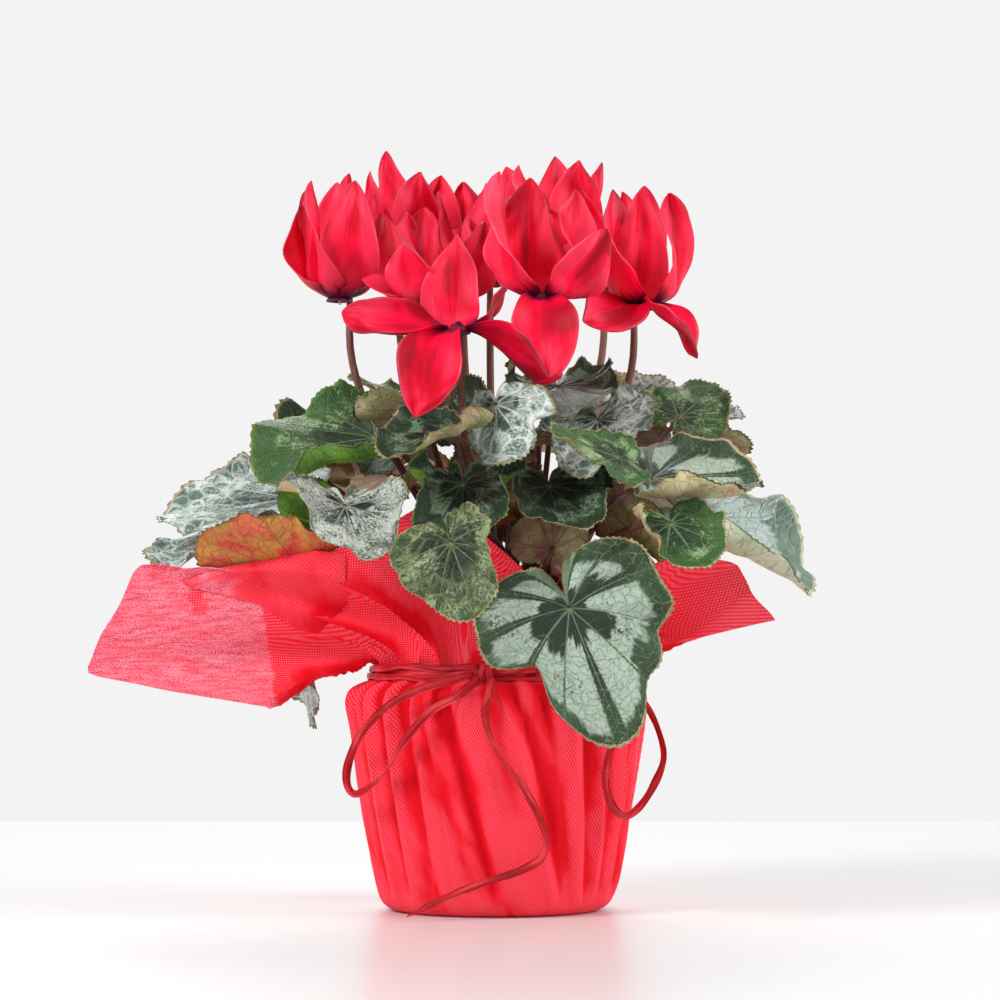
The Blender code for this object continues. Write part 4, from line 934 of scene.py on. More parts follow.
def fitted(node, shapes):
    """(index, shift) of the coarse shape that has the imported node's size, and how far it was moved."""
    low, high = (np.array(corner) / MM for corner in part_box(node))
    misfit = [np.abs(np.ptp(points, axis=0) - (high - low)).max() for points in shapes]
    best = int(np.argmin(misfit))
    middle = (shapes[best].min(axis=0) + shapes[best].max(axis=0)) / 2
    shift = SEARCH_STEP * np.round(((low + high) / 2 - middle) / SEARCH_STEP)
    return best, shift


def placed_leaf(leaf):
    """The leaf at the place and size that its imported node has."""
    ring, rim = np.arange(COARSE_RING), np.arange(COARSE_RIM)
    teeth = COARSE_TEETH * np.where(rim % 2, 1, -1)
    part = np.concatenate([[0.0], np.full(COARSE_RING, COARSE_RING_AT), 1.0 + teeth])
    theta = 2 * math.pi * (np.concatenate([[0.5], ring / COARSE_RING, rim / COARSE_RIM]) - 0.5)
    sized = [leaf._replace(tip=tuple(np.add(leaf.attach, size * np.subtract(leaf.tip, leaf.attach))))
             for size in LEAF_SIZES]
    index, shift = fitted("leaf_" + leaf.name, [leaf_points(each, part, theta) for each in sized])
    near = sized[index]
    return near._replace(attach=tuple(np.add(near.attach, shift)), tip=tuple(np.add(near.tip, shift)))


# Upper sides: colours, where the silver lies, how much it covers, its look beside the veins, and the net
Top = namedtuple("Top", "centre margin silver vein tooth band cover beside net cells rough")
TOPS = {
    "marbled": Top((14, 40, 20), (40, 70, 36), (176, 196, 176), (146, 172, 134), (150, 138, 92),
                   (0.26, 0.80), 0.82, 0.30, 0.42, 0.0, 0.40),
    "splashed": Top((22, 34, 14), (58, 76, 38), (150, 166, 118), (136, 154, 104), (150, 132, 84),
                    (0.44, 0.94), 0.56, 0.14, 0.55, 0.15, 0.42),
    "green": Top((14, 46, 16), (50, 96, 34), (142, 172, 122), (132, 164, 104), (150, 136, 84),
                 (0.36, 0.80), 0.56, 0.14, 0.36, 0.0, 0.42),
    "dark": Top((10, 28, 16), (30, 62, 34), (120, 150, 120), (96, 126, 88), (132, 118, 74),
                (0.38, 0.78), 0.60, 0.10, 0.28, 0.0, 0.42),
    "silver": Top((40, 64, 54), (92, 120, 106), (178, 196, 188), (228, 236, 230), (78, 84, 62),
                  (0.30, 1.05), 0.60, 0.0, 0.90, 1.0, 0.38),
    "metal": Top((26, 38, 32), (78, 96, 84), (204, 208, 198), (212, 218, 208), (100, 98, 76),
                 (0.12, 1.02), 0.62, 0.0, 0.30, 0.4, 0.30),
    "pale": Top((88, 116, 106), (108, 134, 112), (190, 208, 202), (160, 182, 166), (176, 176, 126),
                (0.05, 0.86), 0.85, 0.05, 0.30, 0.2, 0.40),
    "yellow": Top((96, 108, 34), (140, 128, 54), (170, 168, 96), (176, 178, 100), (118, 84, 52),
                  (0.50, 0.72), 0.3, 0.0, 0.30, 0.0, 0.50),
}
Under = namedtuple("Under", "main second vein")
UNDERS = {
    "olive": Under((140, 144, 88), (178, 160, 118), (96, 98, 52)),
    "pink": Under((190, 150, 132), (196, 190, 136), (120, 106, 70)),
    "purple": Under((164, 106, 112), (194, 184, 140), (122, 104, 60)),
    # A bright yellow-green underside: a painted glow, as if lit through from behind
    "bright": Under((106, 156, 24), (76, 122, 30), (150, 190, 70)),
    # A red underside, painted brighter as a glow, as if lit through from behind
    "red": Under((220, 58, 56), (204, 150, 66), (168, 36, 40)),
    "pale": Under((186, 200, 158), (206, 210, 182), (150, 168, 120)),
    "brown": Under((148, 104, 84), (176, 150, 128), (104, 66, 46)),
}
# The leaves with each (upper side, underside); the others are dark with an olive underside
LEAF_LOOKS = {
    ("marbled", "olive"): "front_big middle_wide_rim back_right_low back_left_high",
    ("marbled", "pink"): "right_marbled",
    ("splashed", "olive"): "front_marbled",
    ("metal", "pink"): "left_metal",
    ("green", "bright"): "left_big left_bright",
    ("green", "olive"): "left_small_top middle_lobe middle_olive right_small right_olive",
    ("green", "pink"): "right_round back_left_low",
    ("green", "brown"): "right_pink",
    ("pale", "pale"): "right_silver",
    ("silver", "pink"): "left_silver right_edge",
    ("silver", "olive"): "front_silver left_low_silver left_hanging middle_silver_edge "
                         "right_top_silver back_right_high",
    ("dark", "bright"): "front_dark_cup",
    ("dark", "purple"): "front_purple",
    ("dark", "pink"): "front_pink_rim left_toothed left_curled middle_olive_left",
    ("yellow", "red"): "left_red_lit",
    ("yellow", "olive"): "left_yellow right_top_olive",
}
OTHER_LOOK = ("dark", "olive")
# Waves of the rim and the blade as (share of the leaf's length, waves round the leaf, which phase)
RIM_LOBES = ((0.030, 5, 7), (0.022, 8, 8))
RIM_RIPPLES = ((0.026, 11, 0), (0.018, 19, 1), (0.009, 31, 2))
BLADE_SWELLS = ((0.026, 2, 4), (0.020, 3, 5))
LIP_HEIGHT = 0.115
QUILT_HEIGHT = 0.020
STALK_DENT = 0.006


def leaf_material(top, under):
    """Marbling between the veins of the upper side, a plainer veined underside, and tan teeth."""
    look, back = TOPS[top], UNDERS[under]
    shader = Shader(f"leaf {top} {under}", Specular_IOR_Level=0.55)
    part, flat = shader.value("part"), shader.vector("flat")
    beside = shader.math("PINGPONG", shader.value("vein_place"), 0.5)
    side = beside * shader.value("vein_gap")
    streaks = shader.noise(shader.vector("fan", (9.0, 0.9, 1.0)), 1.0, 4.0, 0.62)
    wide = shader.noise(shader.vector("fan", (1.1, 0.8, 1.0)))
    fleck = shader.noise(flat, 0.85, 4.0, 0.65)
    cloud = shader.noise(flat, 0.075)
    # The silver lies in patches between an inner and an outer edge
    at = part + (streaks * 0.22 + wide * 0.58 - 0.40)
    low, high = look.band
    inner = (at + shader.value("silver_start")).smooth(low, low + 0.07)
    outer = (at + shader.value("silver_stop")).smooth(high - 0.04, high + 0.04, 1.0, 0.0)
    edge = 0.72 - 0.45 * look.cover
    patch = inner * outer * ((cloud + fleck) * 0.38 + streaks * 0.24).smooth(edge, edge + 0.10)
    if look.beside:
        share = shader.value("bank") * look.beside
        patch = patch * (beside + (fleck - 0.5) * 0.12).smooth(share * 0.55, share * 0.85)
    # The veins: main ones, their branches, and the net between them
    main = (side / part.smooth(0.0, 1.0, 0.75, 0.22)).smooth(0.30, 1.0, 1.0, 0.0)
    away = (shader.value("reach") + fleck * 1.6) * (1.0 / 8.0)
    branch = shader.math("PINGPONG", away - side * 0.10, 0.5).smooth(0.012, 0.07, 1.0, 0.0)
    branch = branch * part.smooth(0.15, 0.3) * beside.smooth(0.16, 0.36, 1.0, 0.0)
    drift = shader.node("TexNoise", {"Vector": flat, "Scale": 0.22, "Detail": 2.0}, 1)
    warped = shader.node("VectorMath", {0: flat, 1: shader.scaled(drift, (5.0, 5.0, 0.0))}, operation="ADD")
    cells = shader.cells(warped, 0.17 if look.cells else 0.24)
    line = cells.smooth(0.012, 0.16 if look.cells else 0.07, 1.0, 0.0)
    net = line * part.smooth(0.3, 0.75, 0.2, 1.0) * cloud.smooth(0.3, 0.6, 0.35, 1.0)
    if look.beside:
        net = net * (1.0 - patch * 0.85)
    upper = shader.layered(shader.mix(at.smooth(0.30, 0.85), look.centre, look.margin),
                           (fleck.smooth(0.35, 0.75, 0.0, 0.45), look.centre))
    if look.cells:
        upper = shader.mix(cells.smooth(0.10, 0.42) * (0.55 * look.cells), upper, look.centre)
    upper = shader.layered(
        upper, (patch * fleck.smooth(0.25, 0.55, 0.55, 1.0), look.silver), (net * look.net, look.vein),
        (branch * 0.30, look.vein), (main * 0.45, look.vein))
    lower = shader.layered(
        shader.mix(cloud.smooth(0.38, 0.62), back.main, back.second),
        (part.smooth(0.55, 1.0, 0.0, 0.4), back.second),
        (shader.math("MAXIMUM", main, branch * 0.5) * 0.6, back.vein),
        (fleck.smooth(0.45, 0.8, 0.0, 0.25), back.vein))
    shader.colour(shader.layered(
        upper, (shader.value("under"), lower), (part.smooth(0.985, 1.004, 0.0, 0.75), look.tooth)))
    shader.roughness(fleck.smooth(0.3, 0.7, look.rough, look.rough + 0.16))
    sunk = shader.math("MAXIMUM", line * 0.7, shader.math("MAXIMUM", main, branch))
    shader.bump(fleck * 0.5 - sunk * 0.7, 0.0011, 0.9)
    return shader.material


def blade_faces():
    """Triangles round the stalk point, a web of quads, and the rim, which has twice as many points."""
    first = np.arange(LEAF_COLUMNS)
    after = (first + 1) % LEAF_COLUMNS
    last = 1 + (LEAF_RINGS - 2) * LEAF_COLUMNS
    rim = last + LEAF_COLUMNS
    tips = [rim + 2 * first, rim + 2 * first + 1, rim + (2 * first + 2) % (2 * LEAF_COLUMNS)]
    centre = np.stack([np.zeros(LEAF_COLUMNS, int), 1 + after, 1 + first], axis=1)
    web = 1 + grid_faces(LEAF_RINGS - 1, LEAF_COLUMNS, closed=True)[:, ::-1]
    outer = np.concatenate([np.stack(corners, axis=1) for corners in (
        [last + first, tips[1], tips[0]], [last + first, last + after, tips[1]],
        [last + after, tips[2], tips[1]])])
    return [centre, web, outer]


def dress_leaf(leaf, seed, material):
    rng = np.random.default_rng(seed)
    length = np.linalg.norm(np.subtract(leaf.tip, leaf.attach))
    ring, rim = np.arange(LEAF_COLUMNS) / LEAF_COLUMNS, np.arange(2 * LEAF_COLUMNS)
    inner = np.repeat(np.arange(1, LEAF_RINGS) / LEAF_RINGS, LEAF_COLUMNS)
    part = np.concatenate([[0.0], inner, np.ones(len(rim))])
    theta = 2 * math.pi * (np.concatenate([[0.5], np.tile(ring, LEAF_RINGS - 1), rim / len(rim)]) - 0.5)
    reach = outline(theta) * length
    teeth = TOOTH_DEPTH * rng.uniform(0.6, 1.3, len(rim)) * np.where(rim % 2, 1, -1)
    part[-len(rim):] += teeth / length * smoothstep(reach[-len(rim):] / length, 0.15, 0.35)
    # The veins, each leaning its own way, and where the silver starts and stops between them
    lean = rng.uniform(-1, 1, 2)
    bent = np.degrees(theta) * (1 + 0.14 * part)
    bent = bent + 13 * lean[0] * np.sin(2 * theta) + 8 * lean[1] * np.sin(3 * theta)
    place = np.interp(bent, VEIN_ANGLES, np.arange(len(VEIN_ANGLES)))
    spacing = np.interp(bent, VEIN_ANGLES[:-1], np.radians(np.diff(VEIN_ANGLES)))
    phases = rng.uniform(0, 2 * math.pi, 9)
    bank = (rng.uniform(0.0, 1.0, len(VEIN_ANGLES)) ** 1.6)[np.rint(place).astype(int)]
    starts, stops = rng.uniform(-0.20, 0.14, len(VEIN_ANGLES)), rng.uniform(-0.12, 0.16, len(VEIN_ANGLES))
    sector = np.floor(place).astype(int)
    # The shape: uneven lobes, a rippled and curled rim, and quilting between the veins
    open_side = notch(theta) ** 2
    lobes = waves(RIM_LOBES, theta, phases)
    for middle, half, share in LEAF_BITES.get(leaf.name, ()):
        lobes = lobes - share * np.exp(-((np.degrees(theta) - middle) / half) ** 2)
    spread = part * (1 + lobes * part ** 2 * open_side)
    lip = LIP_HEIGHT * smoothstep(part, 0.70, 1.0) ** 2 * np.maximum(0.0, np.sin(3 * theta + phases[6])) ** 2
    swell = waves(BLADE_SWELLS, theta, phases) * part ** 2
    ripple = waves(RIM_RIPPLES, theta, phases) * part ** 4 + swell + lip
    quilt = QUILT_HEIGHT * np.abs(np.sin(math.pi * place)) ** 1.3 * 4 * part * (1 - part)
    quilt = quilt * (0.6 + 0.4 * np.sin(5 * theta + phases[3]))
    dent = -STALK_DENT * np.exp(-(part / 0.1) ** 2)
    points = leaf_points(leaf, spread, theta, length * (ripple * open_side + quilt + dent))
    reach = reach * part
    flat = np.stack([reach * np.cos(theta), reach * np.sin(theta), np.full(len(part), 31.0 * seed)], axis=1)
    fan = np.stack([place, 3 * part, np.full(len(part), 17.0 * seed)], axis=1)
    shape, values = thicken(points, blade_faces(), LEAF_THICKNESS, {
        "part": part, "vein_place": place, "vein_gap": spacing * reach, "reach": reach, "flat": flat,
        "fan": fan, "bank": bank, "silver_start": starts[sector], "silver_stop": stops[sector]})
    piece = add_piece("blade_" + leaf.name, shape, material, values, sharp=75)
    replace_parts(piece, "leaf_" + leaf.name)


PLACED_LEAVES = [placed_leaf(leaf) for leaf in LEAVES]


def dress_leaves():
    looks = {name: look for look, names in LEAF_LOOKS.items() for name in names.split()}
    materials = {}
    for index, leaf in enumerate(PLACED_LEAVES):
        look = looks.get(leaf.name, OTHER_LOOK)
        if look not in materials:
            materials[look] = leaf_material(*look)
        dress_leaf(leaf, index + 1, materials[look])


dress_leaves()

# Blooms

# A bloom hangs mouth down and its petals bend back. A petal is (azimuth, flare from upright, length, twist)
Bloom = namedtuple("Bloom", "name mouth stem_azimuth width petals")
BLOOMS = (
    Bloom("front_middle", (-18, -72, 271), 80, 28,
          ((182, 84, 50, 80), (30, 35, 51, 50), (100, 12, 53, 30), (352, 126, 50, 80), (240, 150, 57, 25))),
    Bloom("front_right", (17, -72, 282), 100, 29,
          ((210, 8, 63, 40), (110, 2, 63, 30), (30, 8, 57, 50), (345, 40, 43, 70), (275, 150, 54, 5))),
    Bloom("right", (70, -40, 286), 120, 29,
          ((210, 8, 59, 40), (100, 4, 61, 30), (10, 3, 59, 60), (235, 112, 46, 60), (305, 138, 42, 30))),
    Bloom("left", (-75, -20, 292), 60, 29,
          ((185, 6, 57, 50), (232, 6, 59, 40), (292, 4, 59, 20), (100, 2, 63, 30), (20, 8, 57, 50))),
    Bloom("left_front", (-40, -45, 286), 120, 30,
          ((335, 30, 53, 50), (30, 18, 55, 50), (90, 6, 59, 30), (160, 12, 55, 50), (240, 6, 51, 30))),
    Bloom("left_tall", (-54, 18, 308), 50, 30,
          ((90, 2, 69, 15), (10, 16, 57, 50), (190, 12, 55, 50), (250, 6, 53, 30), (320, 18, 55, 40))),
    Bloom("back_left", (-24, 24, 308), 60, 29,
          ((100, 5, 59, 30), (170, 20, 53, 50), (20, 12, 57, 50), (235, 10, 53, 40), (310, 16, 55, 40))),
    Bloom("back_middle", (-3, -5, 300), 90, 29,
          ((60, 12, 55, 40), (130, 8, 57, 40), (200, 22, 51, 50), (275, 8, 51, 20), (345, 20, 51, 50))),
    Bloom("back_right", (28, 42, 318), 57, 30,
          ((150, 20, 57, 40), (90, 4, 59, 20), (25, 22, 59, 50), (315, 12, 53, 40), (230, 16, 51, 40))),
    Bloom("right_back", (50, 5, 302), 90, 29,
          ((60, 12, 57, 40), (120, 8, 57, 40), (190, 30, 49, 50), (330, 10, 55, 40), (255, 96, 44, 40))),
)
PETAL_STATIONS = (0.0, 0.22, 0.52, 0.82)
PETAL_STEPS = 20
PETAL_START = (4.4, 0.6)
PETAL_START_LEAN = 0.35
PETAL_BEND_END = 0.38
PETAL_TIP_BEND = 14.0
PETAL_TROUGH = 0.4
PETAL_TAPER = 0.8
PETAL_ROOT_HALF = 3.0
MOUTH_LIP = 1.2
FLOWER_STEM_RADIUS = 1.8
NECK_DROP = 15.0
NECK_OFFSET = 9.0
FINE_PETAL_THICKNESS = 0.5
FINE_ROOT_HALF = 4.2
UPRIGHT_FLARE = 50
UPRIGHT_TWIST = 14
UPRIGHT_WIDTH = 0.86
UPRIGHT_FOLD = 0.95  # out at the sides, as part of the half width
UPRIGHT_BELLY = 2.4
UPRIGHT_ROOT_HALF = 5.6
UPRIGHT_LATE = 0.86
FINE_HOOK = ((1.0, 2.0), (0.82, 3.4), (0.4, 4.0), (0.0, 2.8))  # (of the offset, above the mouth)
FINE_CALYX_HEIGHT = 3.6
WIDEST_LATE = 1.2  # above 1 moves the widest place towards the tip
PETAL_ROWS = 26
PETAL_ACROSS = 11
SEPALS = 5
MOUTH_SEGMENTS = 40
MOUTH_CUP = 1 + 3 * MOUTH_SEGMENTS  # points of the mouth's hollow
# (radius, height above the mouth), from the hollow's top round the lip to the calyx's top
MOUTH_PROFILE = (
    (0.0, 2.6), (2.2, 2.4), (3.7, 1.4), (4.6, 0.0), (5.1, -MOUTH_LIP), (5.8, -MOUTH_LIP), (6.1, -0.5),
    (5.6, 0.3), (4.7, 1.0), (3.6, 1.8), (2.8, 2.5), (1.8, 3.1), (0.0, FINE_CALYX_HEIGHT),
)
STIGMA_PATH = ((0, 0, 2.6), (0.1, 0, 0.6), (0.2, 0.1, -1.2), (0.2, 0.1, -2.2), (0.2, 0.1, -2.6))
STIGMA_RADII = (0.8, 0.7, 0.6, 0.75, 0.4)
SEPAL_OUTLINE = ((0.0, 0.9), (0.35, 1.2), (0.7, 0.8), (1.0, 0.2))  # (part of its length, half width)


def petal_line(bloom, petal, part):
    """The petal's centreline at parts of its length, with the ways across it and out of its inner face."""
    azimuth, flare, length, twist = petal
    out, up = direction(azimuth), np.array((0.0, 0.0, 1.0))
    middles = (np.arange(PETAL_STEPS) + 0.5) / PETAL_STEPS
    bend = np.minimum(1.0, middles / PETAL_BEND_END)
    bend = bend * bend * (3 - 2 * bend)
    angles = (90 - flare) * (PETAL_START_LEAN + (1 - PETAL_START_LEAN) * bend)
    angles = np.radians(angles + PETAL_TIP_BEND * np.maximum(0.0, middles - PETAL_BEND_END))
    stops = np.linspace(0, 1, PETAL_STEPS + 1)
    outward = np.interp(part, stops, np.append(0, np.cumsum(np.cos(angles))) * length / PETAL_STEPS)
    upward = np.interp(part, stops, np.append(0, np.cumsum(np.sin(angles))) * length / PETAL_STEPS)
    spots = bloom.mouth + np.outer(PETAL_START[0] + outward, out) + np.outer(PETAL_START[1] + upward, up)
    angle = np.interp(part, middles, angles)
    side = np.cross(up, out)
    facing = np.outer(np.cos(angle), np.cross(side, out)) + np.outer(np.sin(angle), np.cross(side, up))
    turn = np.radians(twist * part)[:, None]
    return spots, side * np.cos(turn) + facing * np.sin(turn), facing * np.cos(turn) - side * np.sin(turn)


def petal_points(bloom, petal, part, side, wave=0.0, sway=0.0, root_half=PETAL_ROOT_HALF, late=1.0):
    """Points of the petal: part runs from 0 at the mouth to 1 at the tip, side from -1 to 1 across it."""
    spots, across, facing = petal_line(bloom, petal, part)
    taper = (4 * part ** late * (1 - part ** late)) ** PETAL_TAPER
    half = bloom.width / 2 * taper + root_half * (1 - part) ** 2
    height = wave - PETAL_TROUGH * half * side * side
    return spots + (half * side + sway)[:, None] * across + (height * np.ones_like(part))[:, None] * facing


def placed_bloom(bloom):
    """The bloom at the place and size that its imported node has."""
    part = np.append(np.repeat(PETAL_STATIONS, 3), 1.0)
    side = np.append(np.tile((-1.0, 0.0, 1.0), len(PETAL_STATIONS)), 0.0)
    sized = []
    for size in BLOOM_SIZES:
        petals = tuple((azimuth, flare, length * size, twist)
                       for azimuth, flare, length, twist in bloom.petals)
        sized.append(bloom._replace(width=bloom.width * size, petals=petals))
    shapes = [np.concatenate([petal_points(each, petal, part, side) for petal in each.petals]
                             + [neck_path(each)]) for each in sized]
    index, shift = fitted("bloom_" + bloom.name, shapes)
    return sized[index]._replace(mouth=tuple(np.add(bloom.mouth, shift)))


def neck_start(bloom):
    return np.array(bloom.mouth, float) + NECK_OFFSET * direction(bloom.stem_azimuth) - (0, 0, NECK_DROP)


def neck_path(bloom):
    """The hooked end of the flower stem, which comes up beside the mouth and bends over into the calyx."""
    mouth, side = np.array(bloom.mouth, float), direction(bloom.stem_azimuth)
    return np.array([neck_start(bloom), neck_start(bloom) + (0, 0, 0.6 * NECK_DROP),
                     mouth + NECK_OFFSET * side + (0, 0, 4), mouth + 0.8 * NECK_OFFSET * side + (0, 0, 9),
                     mouth + 0.35 * NECK_OFFSET * side + (0, 0, 11), mouth + (0, 0, 6)])


def petal_material():
    """Velvety red with darker streaks along the petal, shade painted into the troughs of its waves and a pink
    highlight painted on their crests, a purple root, a paler tip, a pale pink sheen painted along its edges
    and a thin dark rim.
    """
    shader = Shader("petal", Specular_IOR_Level=0.14, Sheen_Weight=0.04, Sheen_Roughness=0.35,
                    Sheen_Tint=(255, 140, 165), Subsurface_Weight=0.15,
                    Subsurface_Radius=(0.006, 0.001, 0.001), Subsurface_Scale=0.25)
    part, crest = shader.value("part"), shader.value("crest")
    edge = shader.math("ABSOLUTE", shader.value("side"))
    streaks = shader.noise(shader.vector("flat", (0.9, 0.05, 1.0)), 1.0, 4.0, 0.65)
    broad = shader.noise(shader.vector("flat", (0.10, 0.045, 1.0)))
    pale = part.smooth(0.45, 1.0) * broad.smooth(0.42, 0.66)
    rim = edge.smooth(0.90, 1.0) * part.smooth(0.2, 0.6)
    line = edge.smooth(0.965, 0.985) * part.smooth(0.45, 0.8)
    shader.colour(shader.layered(
        shader.mix(broad.smooth(0.32, 0.68), (208, 0, 36), (252, 5, 64)),
        (streaks.smooth(0.42, 0.8, 0.0, 0.45), (166, 0, 26)),
        # Painted shade in the troughs of the petal's waves, and a painted pink highlight on their crests
        (crest.smooth(-1.6, -0.2, 0.7, 0.0), (150, 0, 24)),
        (crest.smooth(0.8, 3.0, 0.0, 0.4), (255, 70, 104)),
        (pale * streaks.smooth(0.3, 0.7, 0.10, 0.5), (255, 120, 146)),
        # A pale pink sheen painted along the edges
        (rim * streaks.smooth(0.4, 0.6, 0.1, 0.45), (255, 140, 160)),
        (line * 0.6, (92, 4, 40)),
        ((part - streaks * 0.22).smooth(-0.07, 0.07, 0.95, 0.0), (78, 10, 46))))
    shader.roughness(streaks.smooth(0.3, 0.7, 0.40, 0.56))
    shader.bump(streaks, 0.0006, 0.7)
    return shader.material


def mouth_material():
    shader = Shader("mouth")
    grain = shader.noise(shader.place(), 900.0)
    shader.colour(shader.layered(
        # Dark purple, painted darker deeper inside the cup as shade
        shader.mix(shader.value("depth").smooth(0.0, 1.0), (96, 10, 46), (40, 4, 20)),
        (shader.value("rise"), (84, 6, 38)), (grain.smooth(0.5, 0.7, 0.0, 0.4), (150, 50, 80))))
    shader.roughness(grain.smooth(0.3, 0.7, 0.4, 0.6))
    return shader.material


def stem_material():
    """Maroon and brown stems, with shade painted in as darker colour lower down in the plant, and fine lines
    along them.
    """
    shader = Shader("stem", Specular_IOR_Level=0.45)
    grain = shader.noise(shader.place((900, 900, 60)), 1.0, 3.0)
    broad = shader.noise(shader.place((30, 30, 14)))
    shader.colour(shader.layered(
        # Painted shade: darker lower down, deep inside the plant
        shader.mix(shader.axis(shader.place(), 2).smooth(0.15, 0.26), (66, 40, 32), (126, 80, 68)),
        (broad.smooth(0.35, 0.65, 0.0, 0.7), (92, 44, 42)),
        (grain.smooth(0.4, 0.8, 0.0, 0.4), (164, 124, 104)), (shader.value("hook"), (62, 6, 32))))
    shader.roughness(grain.smooth(0.3, 0.7, 0.42, 0.6))
    shader.bump(grain, 0.0003, 0.6)
    return shader.material


PETAL, MOUTH, STEM = petal_material(), mouth_material(), stem_material()
STIGMA = plain_material("stigma", (214, 190, 160), (240, 226, 206), (1500.0,), (0.5, 0.7))


def petal_wave(bloom, upright, part, side, phases, rng):
    """How far the petal's surface stands out of its plain trough."""
    # Ruffles that grow towards the tip, then swells across the middle and along the edges
    wave = part ** 1.3 * (3.4 * side * side * np.sin(5.4 * part + phases[0] + 2.2 * side)
                          + 1.5 * np.sin(3.6 * side + phases[1])
                          + 0.8 * np.abs(side) ** 3 * np.sin(19 * part + phases[2]))
    wave = wave + 3.2 * part * (1 - part) * np.sin(5.2 * side + phases[4] + 2.0 * part)
    wave = wave + 3.4 * side * np.sin(5.0 * part + phases[3]) * smoothstep(part, 0.1, 0.4)
    # An upright petal's edges fold back, every petal has a groove along its middle, and the tip bends
    wave = wave - 3.0 * upright * np.abs(side) ** 3 * (1 + np.sin(7.5 * part + 2.5 * side + phases[5])) * part
    wave = wave - 1.6 * np.exp(-(side / 0.14) ** 2) * (1 - part) * part * 2
    wave = wave * np.minimum(1.0, (1 - part) / 0.2) ** 0.8
    wave = wave + 2.4 * smoothstep(part, 0.7, 1.0) * np.sin(phases[5])
    if upright:
        half = bloom.width / 2 * (4 * part * (1 - part)) ** PETAL_TAPER
        wave = wave + UPRIGHT_FOLD * rng.uniform(0.5, 1.2) * half * side * side * smoothstep(part, 0.1, 0.5)
        wave = wave + UPRIGHT_BELLY * np.exp(-((part - 0.2) / 0.13) ** 2)
    return wave


def fine_petal(bloom, petal, seed):
    rng = np.random.default_rng(seed)
    phases = rng.uniform(0, 2 * math.pi, 6)
    azimuth, flare, length, twist = petal
    upright = flare < UPRIGHT_FLARE
    petal = (azimuth, flare, length, twist + rng.uniform(-18, 22) + UPRIGHT_TWIST * upright)
    part = np.repeat(np.linspace(0.0, 0.995, PETAL_ROWS), PETAL_ACROSS)
    side = np.tile(np.linspace(-1, 1, PETAL_ACROSS), PETAL_ROWS)
    if upright:
        bloom = bloom._replace(width=UPRIGHT_WIDTH * bloom.width)
    wave = petal_wave(bloom, upright, part, side, phases, rng)
    sway = 2.4 * np.sin(3.1 * part + phases[3]) * part
    form = (UPRIGHT_ROOT_HALF, UPRIGHT_LATE) if upright else (FINE_ROOT_HALF, WIDEST_LATE)
    points = petal_points(bloom, petal, part, side, wave, sway, *form)
    flat = np.stack([side * bloom.width / 2, part * length, np.full(len(part), 13.0 * seed)], axis=1)
    return thicken(points, [grid_faces(PETAL_ROWS, PETAL_ACROSS)], FINE_PETAL_THICKNESS,
                   {"part": part, "side": side, "flat": flat, "crest": wave})


def mouth_cup(mouth, seed):
    """The mouth's cup under the petals, with five slight lobes, closed above by a low calyx; how deep in the
    cup a point lies sets the shade painted inside.
    """
    points, faces = turned(MOUTH_PROFILE, MOUTH_SEGMENTS)
    azimuth = np.arctan2(points[:, 1], points[:, 0])
    lobes = 1 + 0.07 * np.cos(5 * azimuth + seed) * smoothstep(-points[:, 2], -2.5, 0.5)
    depth = smoothstep(points[:, 2], -0.5, 2.4) * (np.arange(len(points)) < MOUTH_CUP)
    rise = smoothstep(points[:, 2], 0.4, 4.0) * (1 - depth)
    shape = points * np.stack([lobes, lobes, np.ones(len(lobes))], axis=1) + mouth, faces
    return shape, {"depth": depth, "rise": rise}


def sepal(mouth, azimuth):
    out = direction(azimuth)
    across = np.cross((0, 0, 1), out)
    rows = []
    for share, half in SEPAL_OUTLINE:
        spot = mouth + (1.4 + 2.4 * share) * out + (0, 0, FINE_CALYX_HEIGHT - 0.4 - 3.4 * share * share)
        rows += [spot - half * across, spot + (0, 0, 0.35), spot + half * across]
    return thicken(np.array(rows), [grid_faces(len(SEPAL_OUTLINE), 3)], FINE_PETAL_THICKNESS)[0]


def neck_shape(bloom, mouth, seed):
    """The hooked end of the flower stem with the sepals, darker towards the mouth."""
    side = NECK_OFFSET * direction(bloom.stem_azimuth)
    hook = [mouth + part * side + (0, 0, height) for part, height in FINE_HOOK]
    path = smooth_route(np.concatenate([neck_path(bloom)[:2], hook]), 1.5)
    path = np.concatenate([[path[0] - (0, 0, 0.6)], path])
    shape = merged([tube(path, np.linspace(FLOWER_STEM_RADIUS, 1.35, len(path)), 12)]
                   + [sepal(mouth, 360 * index / SEPALS + 40 * seed) for index in range(SEPALS)])
    return shape, {"hook": smoothstep(shape[0][:, 2] - mouth[2], -2.5, 1.0)}


def dress_bloom(bloom, seed):
    mouth = np.array(bloom.mouth, float)
    petals, values = joined([fine_petal(bloom, petal, 10 * seed + index)
                             for index, petal in enumerate(bloom.petals)])
    cup, cup_values = mouth_cup(mouth, seed)
    neck, neck_values = neck_shape(bloom, mouth, seed)
    stigma = tube(mouth + np.array(STIGMA_PATH), np.array(STIGMA_RADII), 8)
    for piece in (add_piece("petals_" + bloom.name, petals, PETAL, values, sharp=75),
                  add_piece("mouth_" + bloom.name, cup, MOUTH, cup_values),
                  add_piece("stigma_" + bloom.name, stigma, STIGMA),
                  add_piece("neck_" + bloom.name, neck, STEM, neck_values)):
        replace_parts(piece, "bloom_" + bloom.name)


PLACED_BLOOMS = [placed_bloom(bloom) for bloom in BLOOMS]
for number, placed in enumerate(PLACED_BLOOMS):
    dress_bloom(placed, number + 1)

# Crown: the corm, the leaf stalks and the flower stems

